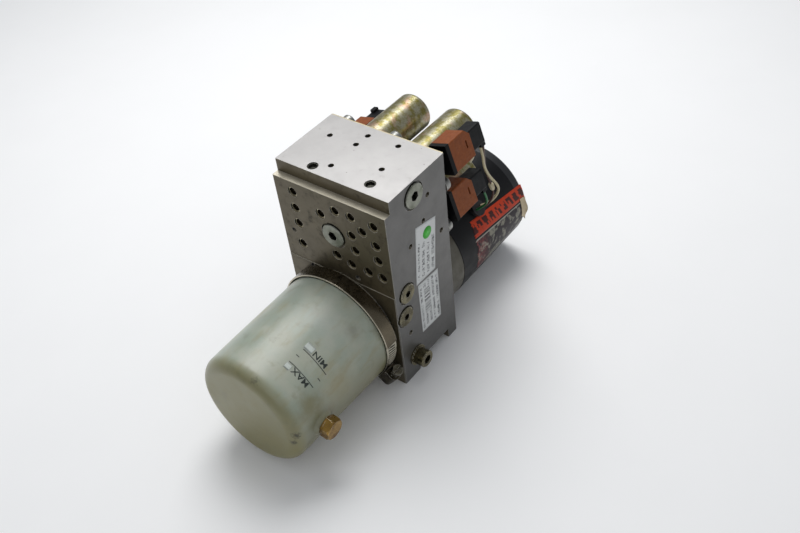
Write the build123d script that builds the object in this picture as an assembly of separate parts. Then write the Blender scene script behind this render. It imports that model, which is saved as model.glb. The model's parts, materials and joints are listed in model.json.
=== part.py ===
from build123d import *
import os
from math import acos, cos, hypot, pi, radians, sin, sqrt, tan

# Hydraulic power unit: an aluminium manifold block with a plastic tank and gear pump on its front
# face, a direct-current motor and three solenoid valves on its rear face.
# Millimetres. +X to the right of the block, +Y from the tank to the motor, +Z up.
# The origin is on the surface the unit stands on, under the shaft, in the middle of the front foot.

# ---- driving dimensions -------------------------------------------------------------------------
BLOCK_W = 115.0
BLOCK_D = 80.0
BLOCK_H = 202.0
FOOT_D = 22.0
REAR_FOOT_D = 13.0
FOOT_H = 11.0
FRONT_Y = -FOOT_D / 2
REAR_Y = FRONT_Y + BLOCK_D
SIDE_X = BLOCK_W / 2
SHAFT_Z = 56.0

STEP_H = 12.0
STEP_D = 7.2
LAND_Z = 105.4
LAND_T = 0.5
SKIM_Y = FRONT_Y + LAND_T

SPIGOT_R = 51.9
SPIGOT_L = 18.0
SPIGOT_Y = FRONT_Y - SPIGOT_L
SEAL_Y = SPIGOT_Y + 3.4
SEAL_SECTION_R = 1.4

TANK_MOUTH_R = 54.8
TANK_END_R = 53.0
TANK_WALL = 2.5
TANK_MOUTH_Y = FRONT_Y - 3.5
TANK_END_Y = FRONT_Y - 129.0
TANK_EDGE_R = 10.7
DRAIN_Y = FRONT_Y - 98.5
DRAIN_ANGLE = -7.0

BAND_T = 1.0
BAND_Y0 = FRONT_Y - 17.0
BAND_Y1 = FRONT_Y - 3.6
BAND_END_ANGLE = 5.0
CLAMP_ANGLE = -37.0
CLAMP_SCREW_R = 62.6
CLAMP_BORE_R = 4.7

GEAR_TEETH = 10
GEAR_MODULE = 2.0
GEAR_SPACING = GEAR_TEETH * GEAR_MODULE
GEAR_TIP_R = 11.6
GEAR_ROOT_R = 8.0
GEAR_W = 11.6
PRESSURE_ANGLE = 20.0
BACKLASH = 0.35
CAVITY_R = 11.95
IDLER_Z = SHAFT_Z - GEAR_SPACING
PUMP_SHAFT_R = 6.45
BUSH_R = 9.0
BUSH_BORE_R = 6.5
BUSH_L = 11.9
PUMP_BODY_T = 12.0
PUMP_COVER_T = 14.0
PUMP_Y0 = SPIGOT_Y - PUMP_BODY_T
COVER_Y0 = PUMP_Y0 - PUMP_COVER_T
PUMP_HALF_W = 23.0
PUMP_HALF_H = 33.0
PUMP_MID_Z = SHAFT_Z - GEAR_SPACING / 2
PUMP_BOLT_X = 17.0
PUMP_BOLT_Z = 26.0
PUMP_BOLTS = [(sx * PUMP_BOLT_X, PUMP_MID_Z + sz * PUMP_BOLT_Z) for sx in (-1, 1) for sz in (-1, 1)]
PUMP_SCREW_DEPTH = 18.0
PORT_X = 11.0
PORT_R = 4.0

SEAL_POCKET_R = 14.0
SEAL_T = 7.0
CHAMBER_R = 17.0
CHAMBER_Y0 = FRONT_Y + 20.0
COUPLING_R = 13.0

MOTOR_R = 55.0
MOTOR_WALL = 3.6
SHIELD_L = 22.0
SHIELD_R = 54.6
PILOT_R = 30.0
PILOT_L = 4.0
HOUSING_Y0 = REAR_Y + SHIELD_L
CAP_T = 10.0
MOTOR_Y1 = REAR_Y + 128.0
HOUSING_Y1 = MOTOR_Y1 - CAP_T
SHAFT_R = 7.5
BEARING_R = 17.5
BEARING_W = 11.0
FRONT_BEARING_Y = REAR_Y + 6.0
REAR_BEARING_Y = MOTOR_Y1 - 16.0
CORE_R = 43.6
CORE_Y0 = REAR_Y + 38.0
CORE_L = 48.0
SLOTS = 14
MAGNET_R0 = 44.3
MAGNET_R1 = 51.3
COMMUTATOR_R = 19.0
COMMUTATOR_L = 13.0
COMMUTATOR_Y = CORE_Y0 + CORE_L + 12.0
BRUSH_W = 8.0
BRUSH_H = 10.0
BRUSH_R1 = 33.0
BRUSH_Y = COMMUTATOR_Y + COMMUTATOR_L / 2
BRUSH_PLATE_Y = BRUSH_Y + BRUSH_H / 2 + 1.6
BRUSH_BOX_R1 = 45.0
MOTOR_BOLT_R = 47.8
MOTOR_BOLTS = [
    (MOTOR_BOLT_R * cos(radians(a)), SHAFT_Z + MOTOR_BOLT_R * sin(radians(a))) for a in (45, 225)
]
MOTOR_BOLT_SEAT = MOTOR_Y1 - 5.5
TERMINAL_Y = MOTOR_Y1 - 22.0
TERMINAL_Z = (SHAFT_Z - 15.0, SHAFT_Z + 15.0)
TERMINAL_R = 4.0

VALVE_SPACING = 48.5
TOP_VALVE_Z = BLOCK_H - 28.0
VALVES = [
    ("upper_left", -VALVE_SPACING / 2, TOP_VALVE_Z, 167.0),
    ("upper_right", VALVE_SPACING / 2, TOP_VALVE_Z, -17.0),
    ("lower_right", VALVE_SPACING / 2, TOP_VALVE_Z - VALVE_SPACING, -17.0),
]
CARTRIDGE_R = 10.9
CARTRIDGE_L = 30.0
CAN_R = 17.5
CAN_WALL = 1.8
CAN_END = 3.0
CAN_Y0 = REAR_Y + 1.5
CAN_Y1 = REAR_Y + 71.0
TUBE_R = 8.0
TUBE_BORE_R = 6.0
TUBE_Y1 = REAR_Y + 64.0
PLUNGER_R = 5.9
STEM_R = 3.0
PLUNGER_Y0 = REAR_Y + 12.0
PLUNGER_Y1 = REAR_Y + 48.0
SEAT_Y = REAR_Y - 26.0
COIL_R0 = 8.2
COIL_R1 = 15.2
COIL_Y0 = REAR_Y + 13.0
COIL_Y1 = REAR_Y + 62.0
BOX_IN = 19.2
BOX_OUT = 36.6
BOX_LOW = -9.2
BOX_HIGH = 18.1
BOX_Y0 = REAR_Y + 11.5
BOX_L = 27.0
PLATE_T = 4.5
PLUG_OUT = 34.6
PLUG_IN = 20.5
PLUG_LOW = -6.6
PLUG_HIGH = 12.6
PLUG_L = 18.0

RELIEF_X = 0.0
RELIEF_Z = 149.6
CHECK_Y = FRONT_Y + 37.4
CHECK_Z = 188.0
PORT_HEAD_R = 11.0
PORT_SPOT_R = 12.4
PORT_SHANK_R = 8.2
GAUGE_HEAD_R = 9.2
GAUGE_SPOT_R = 10.4
GAUGE_SHANK_R = 6.5
TAP_R = 2.5
TAP_L = 12.0
SHORT_TAP_L = 7.0
EXPANDER_R = 4.8

# Expander plugs in the cross drillings of the front face: (x, z).
FRONT_PLUGS = [
    (-38.2, 179.3), (-38.8, 162.4), (-38.5, 146.0), (-38.9, 123.5), (-10.9, 167.5), (5.5, 177.0),
    (21.7, 177.3), (44.3, 177.0), (31.9, 166.6), (19.8, 157.5), (44.4, 157.3), (21.2, 142.2),
    (44.7, 141.7), (-0.2, 127.8), (14.7, 124.3), (32.2, 124.0), (46.9, 124.3),
]
TOP_PLUGS = [(-23.5, FRONT_Y + 14.4), (31.3, FRONT_Y + 18.7)]
# Blind tapped holes: (x, y, depth) on the top face, where the last one is over the check valve's bore,
# (y, z) on the right face, (x, z) on the front face.
TOP_TAPS = [
    (-38.4, FRONT_Y + 53.9, TAP_L), (-9.9, FRONT_Y + 68.5, TAP_L), (-11.0, FRONT_Y + 54.2, TAP_L),
    (20.8, FRONT_Y + 69.1, TAP_L), (-10.8, FRONT_Y + 22.0, TAP_L), (27.8, FRONT_Y + 38.0, SHORT_TAP_L),
]
SIDE_TAPS = [
    (FRONT_Y + 54.7, 177.0), (FRONT_Y + 46.3, 156.0), (FRONT_Y + 68.7, 129.6),
    (FRONT_Y + 27.0, 142.8), (FRONT_Y + 14.6, 53.8),
]
FRONT_TAPS = [(-45.7, 135.8), (19.8, 111.6), (-30.9, 102.4)]
GAUGE_PORTS = [(FRONT_Y + 15.6, 99.9), (FRONT_Y + 10.6, 77.1)]
SIDE_SCREW = (FRONT_Y + 19.3, 21.5)
# Button-head screws on the rear face: (x, z).
REAR_SCREWS = [(-43.6, 194.9), (6.4, 195.3), (51.9, 166.3), (50.9, 121.9)]
REAR_SCREW_R = 4.0

# The free leads: (wire radius, route). The upper right plug feeds two, the lower right plug one.
LEAD_GROMMET = (41.0, REAR_Y + 64.0)
LEADS = {
    "cream_lead": (1.25, [
        (57.5, 120.7, 174.6), (59.2, 121.5, 165.4), (56.5, 126.0, 151.0), (57.3, 132.0, 136.5),
        (59.8, 138.5, 125.8), (60.6, 142.5, 117.8), (58.1, 143.5, 108.7), (53.7, 142.0, 101.6),
        (49.6, 139.0, 97.4), (44.5, 136.4, 94.7),
    ]),
    "brown_lead": (1.1, [
        (57.5, 124.5, 174.6), (56.3, 127.6, 156.3), (53.8, 131.5, 142.0), (54.4, 136.4, 128.1),
        (56.1, 139.5, 118.0), (56.2, 139.8, 109.7), (53.7, 138.5, 102.2), (50.3, 135.8, 97.0),
        (44.5, 133.0, 94.7),
    ]),
    "green_lead": (1.1, [
        (57.5, 122.6, 126.1), (59.3, 126.0, 115.1), (54.6, 129.0, 104.8), (44.5, 129.6, 94.7),
    ]),
}

TO_Y = Rot(-90, 0, 0)
TO_FRONT = Rot(90, 0, 0)
TO_X = Rot(0, 90, 0)


# ---- shapes used in many places -----------------------------------------------------------------
def box(x0, x1, y0, y1, z0, z1):
    """A box between two corners."""
    return Pos((x0 + x1) / 2, (y0 + y1) / 2, (z0 + z1) / 2) * Box(x1 - x0, y1 - y0, z1 - z0)


def cyl_x(r, x0, x1, y, z):
    """A cylinder along X."""
    return Pos((x0 + x1) / 2, y, z) * TO_X * Cylinder(r, x1 - x0)


def cyl_y(r, y0, y1, x=0.0, z=SHAFT_Z):
    """A cylinder along Y, on the motor shaft's axis unless told otherwise."""
    return Pos(x, (y0 + y1) / 2, z) * TO_Y * Cylinder(r, y1 - y0)


def cyl_z(r, x, y, z0, z1):
    """A cylinder along Z."""
    return Pos(x, y, (z0 + z1) / 2) * Cylinder(r, z1 - z0)


def tube_y(r_out, r_in, y0, y1, x=0.0, z=SHAFT_Z):
    """A tube along Y."""
    return cyl_y(r_out, y0, y1, x, z) - cyl_y(r_in, y0 - 1, y1 + 1, x, z)


def turned_y(points, x=0.0, z=SHAFT_Z):
    """A solid of revolution about an axis along Y, from its (radius, y) outline."""
    outline = make_face(Polyline(*[(r, 0, y) for r, y in points], close=True))
    return Pos(x, 0, z) * TO_Y * revolve(outline, Axis.Z)


def ends(shape, axis, last):
    """The edges at one end of a shape along an axis."""
    return shape.edges().group_by(axis)[-1 if last else 0]


def hex_bar(across_flats, z0, z1):
    """A hexagonal bar along Z."""
    section = RegularPolygon(across_flats / 2, 6, major_radius=False)
    return Pos(0, 0, z0) * extrude(section, z1 - z0)


def socket_screw(head_r, head_h, shank_r, shank_l, key, key_depth):
    """A socket-head screw along Z with its seat at the origin and its shank downward."""
    head = Pos(0, 0, head_h / 2) * Cylinder(head_r, head_h)
    head = chamfer(ends(head, Axis.Z, True), head_r * 0.08)
    head -= hex_bar(key, head_h - key_depth, head_h + 1)
    return head + Pos(0, 0, -shank_l / 2) * Cylinder(shank_r, shank_l)


def port_plug(head_r, shank_r, shank_l, key):
    """A flush hexagon-socket port plug along Z, its head 3 thick with the shank downward."""
    head = Pos(0, 0, 1.5) * Cylinder(head_r, 3.0)
    head = chamfer(ends(head, Axis.Z, True), 0.6)
    shank = Pos(0, 0, -shank_l / 2) * Cylinder(shank_r, shank_l)
    return head + shank - hex_bar(key, -5.0, 4.0)


def coil_spring(radius, wire_r, length, turns):
    """A round-wire compression spring along Z from the origin, its wire inside the length."""
    path = Helix(pitch=(length - 2 * wire_r) / turns, height=length - 2 * wire_r, radius=radius)
    section = Plane(origin=path @ 0, z_dir=path % 0) * Circle(wire_r)
    return Pos(0, 0, wire_r) * sweep(section, path=path)


def group(shapes):
    """Separate solids kept together in one node."""
    return Compound(children=[s for shape in shapes for s in shape.solids()])


# ---- the block and its plugs --------------------------------------------------------------------
def stepped_bore_y(x, z, steps):
    """Coaxial drillings along Y: (radius, y0, y1) each."""
    drillings = [cyl_y(r, y0, y1, x, z) for r, y0, y1 in steps]
    return sum(drillings[1:], drillings[0])


def manifold_block():
    """The drilled aluminium block, with its two feet, its stepped top and the tank spigot."""
    block = box(-SIDE_X, SIDE_X, FRONT_Y, REAR_Y, 0, BLOCK_H)
    block = chamfer(block.edges().filter_by(Axis.Z), 0.8)
    block -= box(-SIDE_X - 1, SIDE_X + 1, FRONT_Y + FOOT_D, REAR_Y - REAR_FOOT_D, -1, FOOT_H)
    block -= box(-SIDE_X - 1, SIDE_X + 1, FRONT_Y - 1, FRONT_Y + STEP_D, BLOCK_H - STEP_H, BLOCK_H + 1)
    block -= box(-SIDE_X - 1, SIDE_X + 1, FRONT_Y - 1, SKIM_Y, LAND_Z, BLOCK_H - STEP_H + 1)
    spigot = cyl_y(SPIGOT_R, SPIGOT_Y, FRONT_Y + 1)
    spigot = chamfer(ends(spigot, Axis.Y, False), 1.0)
    groove = tube_y(SPIGOT_R + 1, SPIGOT_R - 2.6, SEAL_Y - 1.6, SEAL_Y + 1.6)
    block += spigot - groove

    block -= stepped_bore_y(0, SHAFT_Z, [
        (BUSH_BORE_R + 2.0, SPIGOT_Y - 1, CHAMBER_Y0),
        (SEAL_POCKET_R, CHAMBER_Y0 - SEAL_T, CHAMBER_Y0 + 1),
        (CHAMBER_R, CHAMBER_Y0, REAR_Y + 1),
        (PILOT_R + 0.1, REAR_Y - PILOT_L - 0.2, REAR_Y + 1),
    ])
    for z in (SHAFT_Z, IDLER_Z):
        block -= cyl_y(BUSH_R, SPIGOT_Y - 1, SPIGOT_Y + 12.0, 0, z)
    block -= cyl_y(PORT_R - 0.5, SPIGOT_Y - 1, SPIGOT_Y + 26.0, PORT_X, PUMP_MID_Z)
    block -= cyl_y(4.0, SPIGOT_Y - 1, SPIGOT_Y + 8.0, 34.0, 74.0)
    for x, z in PUMP_BOLTS:
        block -= cyl_y(3.0, SPIGOT_Y - 1, SPIGOT_Y + PUMP_SCREW_DEPTH, x, z)
    for x, z in MOTOR_BOLTS:
        block -= cyl_y(2.5, REAR_Y - 18.0, REAR_Y + 1, x, z)
    for _, x, z, _ in VALVES:
        block -= stepped_bore_y(x, z, [
            (CARTRIDGE_R + 0.1, REAR_Y - CARTRIDGE_L, REAR_Y + 1),
            (5.0, REAR_Y - CARTRIDGE_L - 6.0, REAR_Y),
        ])
    block -= stepped_bore_y(RELIEF_X, RELIEF_Z, [
        (PORT_SPOT_R, FRONT_Y - 1, SKIM_Y + 1.6),
        (PORT_SHANK_R, FRONT_Y, SKIM_Y + 16.0),
        (6.0, FRONT_Y, FRONT_Y + 40.0),
        (3.0, FRONT_Y, FRONT_Y + 50.0),
    ])
    block -= cyl_x(PORT_SPOT_R, SIDE_X - 1.6, SIDE_X + 1, CHECK_Y, CHECK_Z)
    block -= cyl_x(PORT_SHANK_R, SIDE_X - 18.0, SIDE_X, CHECK_Y, CHECK_Z)
    block -= cyl_x(6.3, 20.0, SIDE_X, CHECK_Y, CHECK_Z)
    block -= cyl_x(3.5, 4.0, SIDE_X, CHECK_Y, CHECK_Z)
    for y, z in GAUGE_PORTS:
        block -= cyl_x(GAUGE_SPOT_R, SIDE_X - 1.6, SIDE_X + 1, y, z)
        block -= cyl_x(GAUGE_SHANK_R, SIDE_X - 14.0, SIDE_X, y, z)

    for x, z in FRONT_PLUGS:
        block -= cyl_y(EXPANDER_R, FRONT_Y - 1, SKIM_Y + 8.0, x, z)
    for x, y in TOP_PLUGS:
        block -= cyl_z(EXPANDER_R, x, y, BLOCK_H - 8.0, BLOCK_H + 1)
    for x, y, depth in TOP_TAPS:
        block -= cyl_z(TAP_R, x, y, BLOCK_H - depth, BLOCK_H + 1)
    for y, z in SIDE_TAPS:
        block -= cyl_x(TAP_R, SIDE_X - TAP_L, SIDE_X + 1, y, z)
    for x, z in FRONT_TAPS:
        block -= cyl_y(TAP_R, FRONT_Y - 1, FRONT_Y + TAP_L, x, z)
    block -= cyl_x(5.0, SIDE_X - 20.0, SIDE_X + 1, *SIDE_SCREW)
    for x, z in REAR_SCREWS:
        block -= cyl_y(REAR_SCREW_R, REAR_Y - 12.0, REAR_Y + 1, x, z)
    return block


def port_plugs():
    """The two large port plugs: over the relief valve in front, over the check valve at the side."""
    plug = port_plug(PORT_HEAD_R, PORT_SHANK_R, 12.0, 8.0)
    front = Pos(RELIEF_X, SKIM_Y + 1.6, RELIEF_Z) * TO_FRONT * plug
    side = Pos(SIDE_X - 1.6, CHECK_Y, CHECK_Z) * TO_X * plug
    return group([front, side])


def gauge_plugs():
    """The two smaller plugs in the test ports of the right face."""
    plug = port_plug(GAUGE_HEAD_R, GAUGE_SHANK_R, 10.0, 6.0)
    return group([Pos(SIDE_X - 1.6, y, z) * TO_X * plug for y, z in GAUGE_PORTS])


def expander_plugs():
    """The pressed-in steel cups that close the cross drillings, just under the faces."""
    cup = Cylinder(EXPANDER_R, 4.0) - Pos(0, 0, 1.4) * Cylinder(EXPANDER_R - 1.2, 2.4)
    front = [Pos(x, SKIM_Y + 3.0, z) * TO_FRONT * cup for x, z in FRONT_PLUGS]
    top = [Pos(x, y, BLOCK_H - 2.6) * cup for x, y in TOP_PLUGS]
    return group(front + top)


def side_screw():
    """The mounting screw in the right face, with its plain washer."""
    screw = socket_screw(8.0, 10.0, 5.0, 18.0, 8.0, 5.0)
    washer = Pos(0, 0, -0.75) * (Cylinder(10.0, 1.5) - Cylinder(5.0, 2.0))
    at = Pos(SIDE_X + 1.5, *SIDE_SCREW) * TO_X
    return group([at * screw, at * washer])


def rear_screws():
    """The bright button-head screws beside the valves, on the rear face."""
    head = fillet(ends(Pos(0, 0, 3.25) * Cylinder(6.5, 6.5), Axis.Z, True), 1.6)
    screw = head + Pos(0, 0, -5.0) * Cylinder(REAR_SCREW_R, 10.0) - hex_bar(5.0, 3.0, 7.0)
    return group([Pos(x, REAR_Y, z) * TO_Y * screw for x, z in REAR_SCREWS])


def relief_poppet():
    """The relief valve's cone on its seat, with a stub that centres the spring."""
    seat = FRONT_Y + 40.0
    return turned_y([
        (0, seat - 15.0), (2.2, seat - 15.0), (2.2, seat - 10.0), (5.6, seat - 10.0),
        (5.6, seat - 3.0), (2.6, seat - 0.2), (2.6, seat + 2.0), (0, seat + 2.0),
    ], RELIEF_X, RELIEF_Z)


def relief_spring():
    """The relief valve's spring, from the plug to the poppet."""
    start = SKIM_Y + 13.8
    length = FRONT_Y + 29.8 - start
    return Pos(RELIEF_X, start, RELIEF_Z) * TO_Y * coil_spring(3.6, 0.7, length, 6)


def check_ball():
    """The check valve's ball, just off its seat."""
    return Pos(25.2, CHECK_Y, CHECK_Z) * Sphere(5.5)


def check_spring():
    """The check valve's light spring, from the ball to the plug."""
    return Pos(31.0, CHECK_Y, CHECK_Z) * TO_X * coil_spring(4.2, 0.5, 12.6, 5)


# ---- the tank -----------------------------------------------------------------------------------
def around_shaft(angle, shape, y):
    """A shape built along +X at the shaft's axis, turned up by an angle about that axis."""
    return Pos(0, y, SHAFT_Z) * Rot(0, -angle, 0) * shape


def tank_shell():
    """The translucent tank: a slightly tapered cup with a drain boss near its closed end."""
    outer = turned_y([(0, TANK_END_Y), (TANK_END_R, TANK_END_Y), (TANK_MOUTH_R, TANK_MOUTH_Y),
                      (0, TANK_MOUTH_Y)])
    outer = fillet(ends(outer, Axis.Y, False), TANK_EDGE_R)
    floor_y = TANK_END_Y + TANK_WALL
    inner = turned_y([(0, floor_y), (TANK_END_R - TANK_WALL, floor_y),
                      (TANK_MOUTH_R - TANK_WALL, TANK_MOUTH_Y + 1), (0, TANK_MOUTH_Y + 1)])
    inner = fillet(ends(inner, Axis.Y, False), TANK_EDGE_R - TANK_WALL)
    boss = around_shaft(DRAIN_ANGLE, Pos(50.2, 0, 0) * TO_X * Cylinder(9.5, 12.0), DRAIN_Y)
    boss = fillet(boss.faces().sort_by(Axis.X)[-1].edges(), 2.0)
    bore = around_shaft(DRAIN_ANGLE, Pos(50.0, 0, 0) * TO_X * Cylinder(5.0, 30.0), DRAIN_Y)
    return outer + boss - inner - bore


def drain_plug():
    """The brass hexagon drain plug in the tank's boss."""
    head = hex_bar(17.0, 0.2, 9.0)
    head &= Cone(13.2, 8.6, 9.2, align=(Align.CENTER, Align.CENTER, Align.MIN))
    flange = Pos(0, 0, 0.9) * Cylinder(8.9, 1.4)
    shank = Pos(0, 0, -5.0) * Cylinder(5.0, 10.6)
    return around_shaft(DRAIN_ANGLE, Pos(56.2, 0, 0) * TO_X * (head + flange + shank), DRAIN_Y)


def tank_seal():
    """The O-ring between the spigot and the tank's mouth."""
    ring_r = SPIGOT_R - 2.6 + SEAL_SECTION_R
    return Pos(0, SEAL_Y, SHAFT_Z) * TO_Y * Torus(ring_r, SEAL_SECTION_R)


def clamp_band():
    """The steel band round the tank's mouth: a full turn, and a second layer that ends at the right."""
    inner_r = TANK_MOUTH_R + 0.15
    ring = tube_y(inner_r + BAND_T, inner_r, BAND_Y0, BAND_Y1)
    lap = tube_y(inner_r + 2 * BAND_T, inner_r + BAND_T, BAND_Y0 + 0.3, BAND_Y1 - 0.3)
    lap &= around_shaft(BAND_END_ANGLE, box(-80, 80, -8, 8, 0, 80), (BAND_Y0 + BAND_Y1) / 2)
    slots = []
    for i in range(5):
        slit = Pos(inner_r + 0.5, 0, 0) * Box(3.0, 8.0, 1.0)
        slots.append(around_shaft(BAND_END_ANGLE - 4.0 - 3.0 * i, slit, (BAND_Y0 + BAND_Y1) / 2))
    return ring + lap - sum(slots[1:], slots[0])


def clamp_at(shape):
    """Places a shape built about the worm screw's axis: local X is out of the band, Z along it."""
    place = Pos(0, (BAND_Y0 + BAND_Y1) / 2, SHAFT_Z) * Rot(0, -CLAMP_ANGLE, 0)
    return place * Pos(CLAMP_SCREW_R, 0, 0) * shape


def clamp_housing():
    """The worm housing on the band, open at both ends for the screw."""
    low = TANK_MOUTH_R + 0.15 + BAND_T + 0.35 - CLAMP_SCREW_R
    shell = box(low, 6.2, -6.2, 6.2, -7.5, 7.5)
    shell = fillet(shell.edges().filter_by(Axis.Z).sort_by(Axis.X)[-2:], 4.5)
    return clamp_at(shell - Cylinder(CLAMP_BORE_R, 40.0))


def clamp_screw():
    """The worm screw with its slotted hexagon head at the upper end."""
    worm = Cylinder(CLAMP_BORE_R - 0.1, 17.0)
    head = hex_bar(9.0, 8.5, 15.5) & Pos(0, 0, 12.0) * Cylinder(5.05, 7.0)
    slot = Pos(0, 0, 15.0) * Box(1.4, 12.0, 3.6)
    return clamp_at(worm + head - slot)


# ---- the gear pump ------------------------------------------------------------------------------
def pump_slab(y0, y1):
    """A slab with the pump's rounded outline and its four bolt holes."""
    slab = box(-PUMP_HALF_W, PUMP_HALF_W, y0, y1, PUMP_MID_Z - PUMP_HALF_H, PUMP_MID_Z + PUMP_HALF_H)
    slab = fillet(slab.edges().filter_by(Axis.Y), 7.0)
    for x, z in PUMP_BOLTS:
        slab -= cyl_y(3.0, y0 - 1, y1 + 1, x, z)
    return slab


def pump_body():
    """The pump's centre plate, with the cavity of the two gears and a pocket at each port."""
    body = pump_slab(PUMP_Y0, SPIGOT_Y)
    for z in (SHAFT_Z, IDLER_Z):
        body -= cyl_y(CAVITY_R, PUMP_Y0 - 1, SPIGOT_Y + 1, 0, z)
    for side in (-1, 1):
        body -= cyl_y(PORT_R + 1.0, PUMP_Y0 - 1, SPIGOT_Y + 1, side * PORT_X, PUMP_MID_Z)
    return body


def pump_cover():
    """The pump's rear cover, with two bush pockets and the suction port."""
    cover = pump_slab(COVER_Y0, PUMP_Y0)
    for z in (SHAFT_Z, IDLER_Z):
        cover -= cyl_y(BUSH_R, PUMP_Y0 - 12.0, PUMP_Y0 + 1, 0, z)
    return cover - cyl_y(PORT_R, COVER_Y0 - 1, PUMP_Y0 + 1, -PORT_X, PUMP_MID_Z)


def pump_screws():
    """The four long screws that hold the pump to the spigot."""
    screw = socket_screw(5.0, 6.0, 3.0, SPIGOT_Y + PUMP_SCREW_DEPTH - COVER_Y0, 5.0, 3.0)
    return group([Pos(x, COVER_Y0, z) * TO_FRONT * screw for x, z in PUMP_BOLTS])


def pump_bushes():
    """The four plain bushes that carry the gears' shafts."""
    spans = [(SPIGOT_Y + 0.1, SPIGOT_Y + BUSH_L), (PUMP_Y0 - BUSH_L, PUMP_Y0 - 0.1)]
    return group([
        tube_y(BUSH_R - 0.02, BUSH_BORE_R, y0, y1, 0, z)
        for y0, y1 in spans for z in (SHAFT_Z, IDLER_Z)
    ])


def involute(angle):
    """The involute function of a pressure angle in radians."""
    return tan(angle) - angle


def gear_section(first_tooth):
    """The toothed outline of a pump gear, one tooth centred on an angle in degrees."""
    pitch_r = GEAR_MODULE * GEAR_TEETH / 2
    base_r = pitch_r * cos(radians(PRESSURE_ANGLE))
    half = pi / (2 * GEAR_TEETH) - BACKLASH / (2 * pitch_r) + involute(radians(PRESSURE_ANGLE))

    def at(r, angle):
        return (r * cos(angle), r * sin(angle))

    def flank(centre, side):
        radii = [base_r + (GEAR_TIP_R - base_r) * i / 5 for i in range(6)]
        return [at(r, centre + side * (half - involute(acos(min(1.0, base_r / r))))) for r in radii]

    edges = []
    for tooth in range(GEAR_TEETH):
        centre = radians(first_tooth) + 2 * pi * tooth / GEAR_TEETH
        rise = flank(centre, -1)
        fall = flank(centre, 1)
        gap = centre + pi / GEAR_TEETH
        following = centre + 2 * pi / GEAR_TEETH - half
        edges.append(Line(at(GEAR_ROOT_R, centre - half), rise[0]))
        edges.append(Spline(*rise))
        edges.append(ThreePointArc(rise[-1], at(GEAR_TIP_R, centre), fall[-1]))
        edges.append(Spline(*fall[::-1]))
        edges.append(Line(fall[0], at(GEAR_ROOT_R, centre + half)))
        edges.append(ThreePointArc(at(GEAR_ROOT_R, centre + half), at(GEAR_ROOT_R, gap),
                                   at(GEAR_ROOT_R, following)))
    return make_face(edges)


def pump_gear(z, first_tooth, shaft_y0, shaft_y1):
    """A pump gear in one piece with its shaft."""
    y1 = SPIGOT_Y - (PUMP_BODY_T - GEAR_W) / 2
    wheel = Pos(0, y1, z) * TO_FRONT * extrude(gear_section(first_tooth), GEAR_W)
    return wheel + cyl_y(PUMP_SHAFT_R, shaft_y0, shaft_y1, 0, z)


def shaft_seal():
    """The lip seal that keeps the oil out of the coupling chamber."""
    ring = tube_y(SEAL_POCKET_R - 0.02, PUMP_SHAFT_R + 0.08, CHAMBER_Y0 - SEAL_T + 0.1, CHAMBER_Y0)
    return ring - tube_y(SEAL_POCKET_R - 3.0, PUMP_SHAFT_R + 1.6, CHAMBER_Y0 - SEAL_T, CHAMBER_Y0 - 4.0)


def suction_strainer():
    """The mesh strainer on the suction port, with its end rings and neck."""
    x, z = -PORT_X, PUMP_MID_Z
    body = tube_y(13.0, 12.0, COVER_Y0 - 34.0, COVER_Y0 - 7.0, x, z)
    body += cyl_y(14.0, COVER_Y0 - 36.0, COVER_Y0 - 33.0, x, z)
    body += cyl_y(14.0, COVER_Y0 - 8.0, COVER_Y0 - 5.0, x, z)
    body += cyl_y(PORT_R, COVER_Y0 - 7.0, COVER_Y0 + 8.0, x, z)
    return body - cyl_y(PORT_R - 1.2, COVER_Y0 - 20.0, COVER_Y0 + 9.0, x, z)


def return_tube():
    """The tube that lets returned oil out low in the tank."""
    path = FilletPolyline((34, SPIGOT_Y + 7.5, 74), (34, SPIGOT_Y - 62, 74), (34, SPIGOT_Y - 62, 30),
                          radius=12)
    section = Plane(origin=path @ 0, z_dir=path % 0) * (Circle(4.0) - Circle(3.0))
    return sweep(section, path=path)


# ---- the motor ----------------------------------------------------------------------------------
def end_shield():
    """The cast drive-end shield with its pilot, bearing seat and ribs."""
    rim = tube_y(SHIELD_R, 47.5, REAR_Y, HOUSING_Y0)
    plate = tube_y(SHIELD_R, 11.0, REAR_Y, FRONT_BEARING_Y)
    boss = tube_y(22.0, BEARING_R, REAR_Y, FRONT_BEARING_Y + BEARING_W)
    pilot = tube_y(PILOT_R, 19.0, REAR_Y - PILOT_L, REAR_Y + 1)
    shield = rim + plate + boss + pilot
    for i in range(6):
        rib = box(20.0, 49.0, -2.0, 2.0, -2.0, 2.0)
        shield += around_shaft(60.0 * i + 15.0, rib, REAR_Y + 8.0)
    for x, z in MOTOR_BOLTS:
        shield += cyl_y(5.0, REAR_Y, HOUSING_Y0, x, z)
    for x, z in MOTOR_BOLTS:
        shield -= cyl_y(2.8, REAR_Y - 1, HOUSING_Y0 + 1, x, z)
    return shield


def motor_housing():
    """The black steel yoke tube of the motor, with two openings for the terminals."""
    housing = tube_y(MOTOR_R, MOTOR_R - MOTOR_WALL, HOUSING_Y0, HOUSING_Y1)
    for z in TERMINAL_Z:
        housing -= cyl_x(6.2, -MOTOR_R - 2, -MOTOR_R + 12, TERMINAL_Y, z)
    angle, y = LEAD_GROMMET
    return housing - around_shaft(angle, Pos(MOTOR_R, 0, 0) * TO_X * Cylinder(6.2, 20.0), y)


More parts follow.
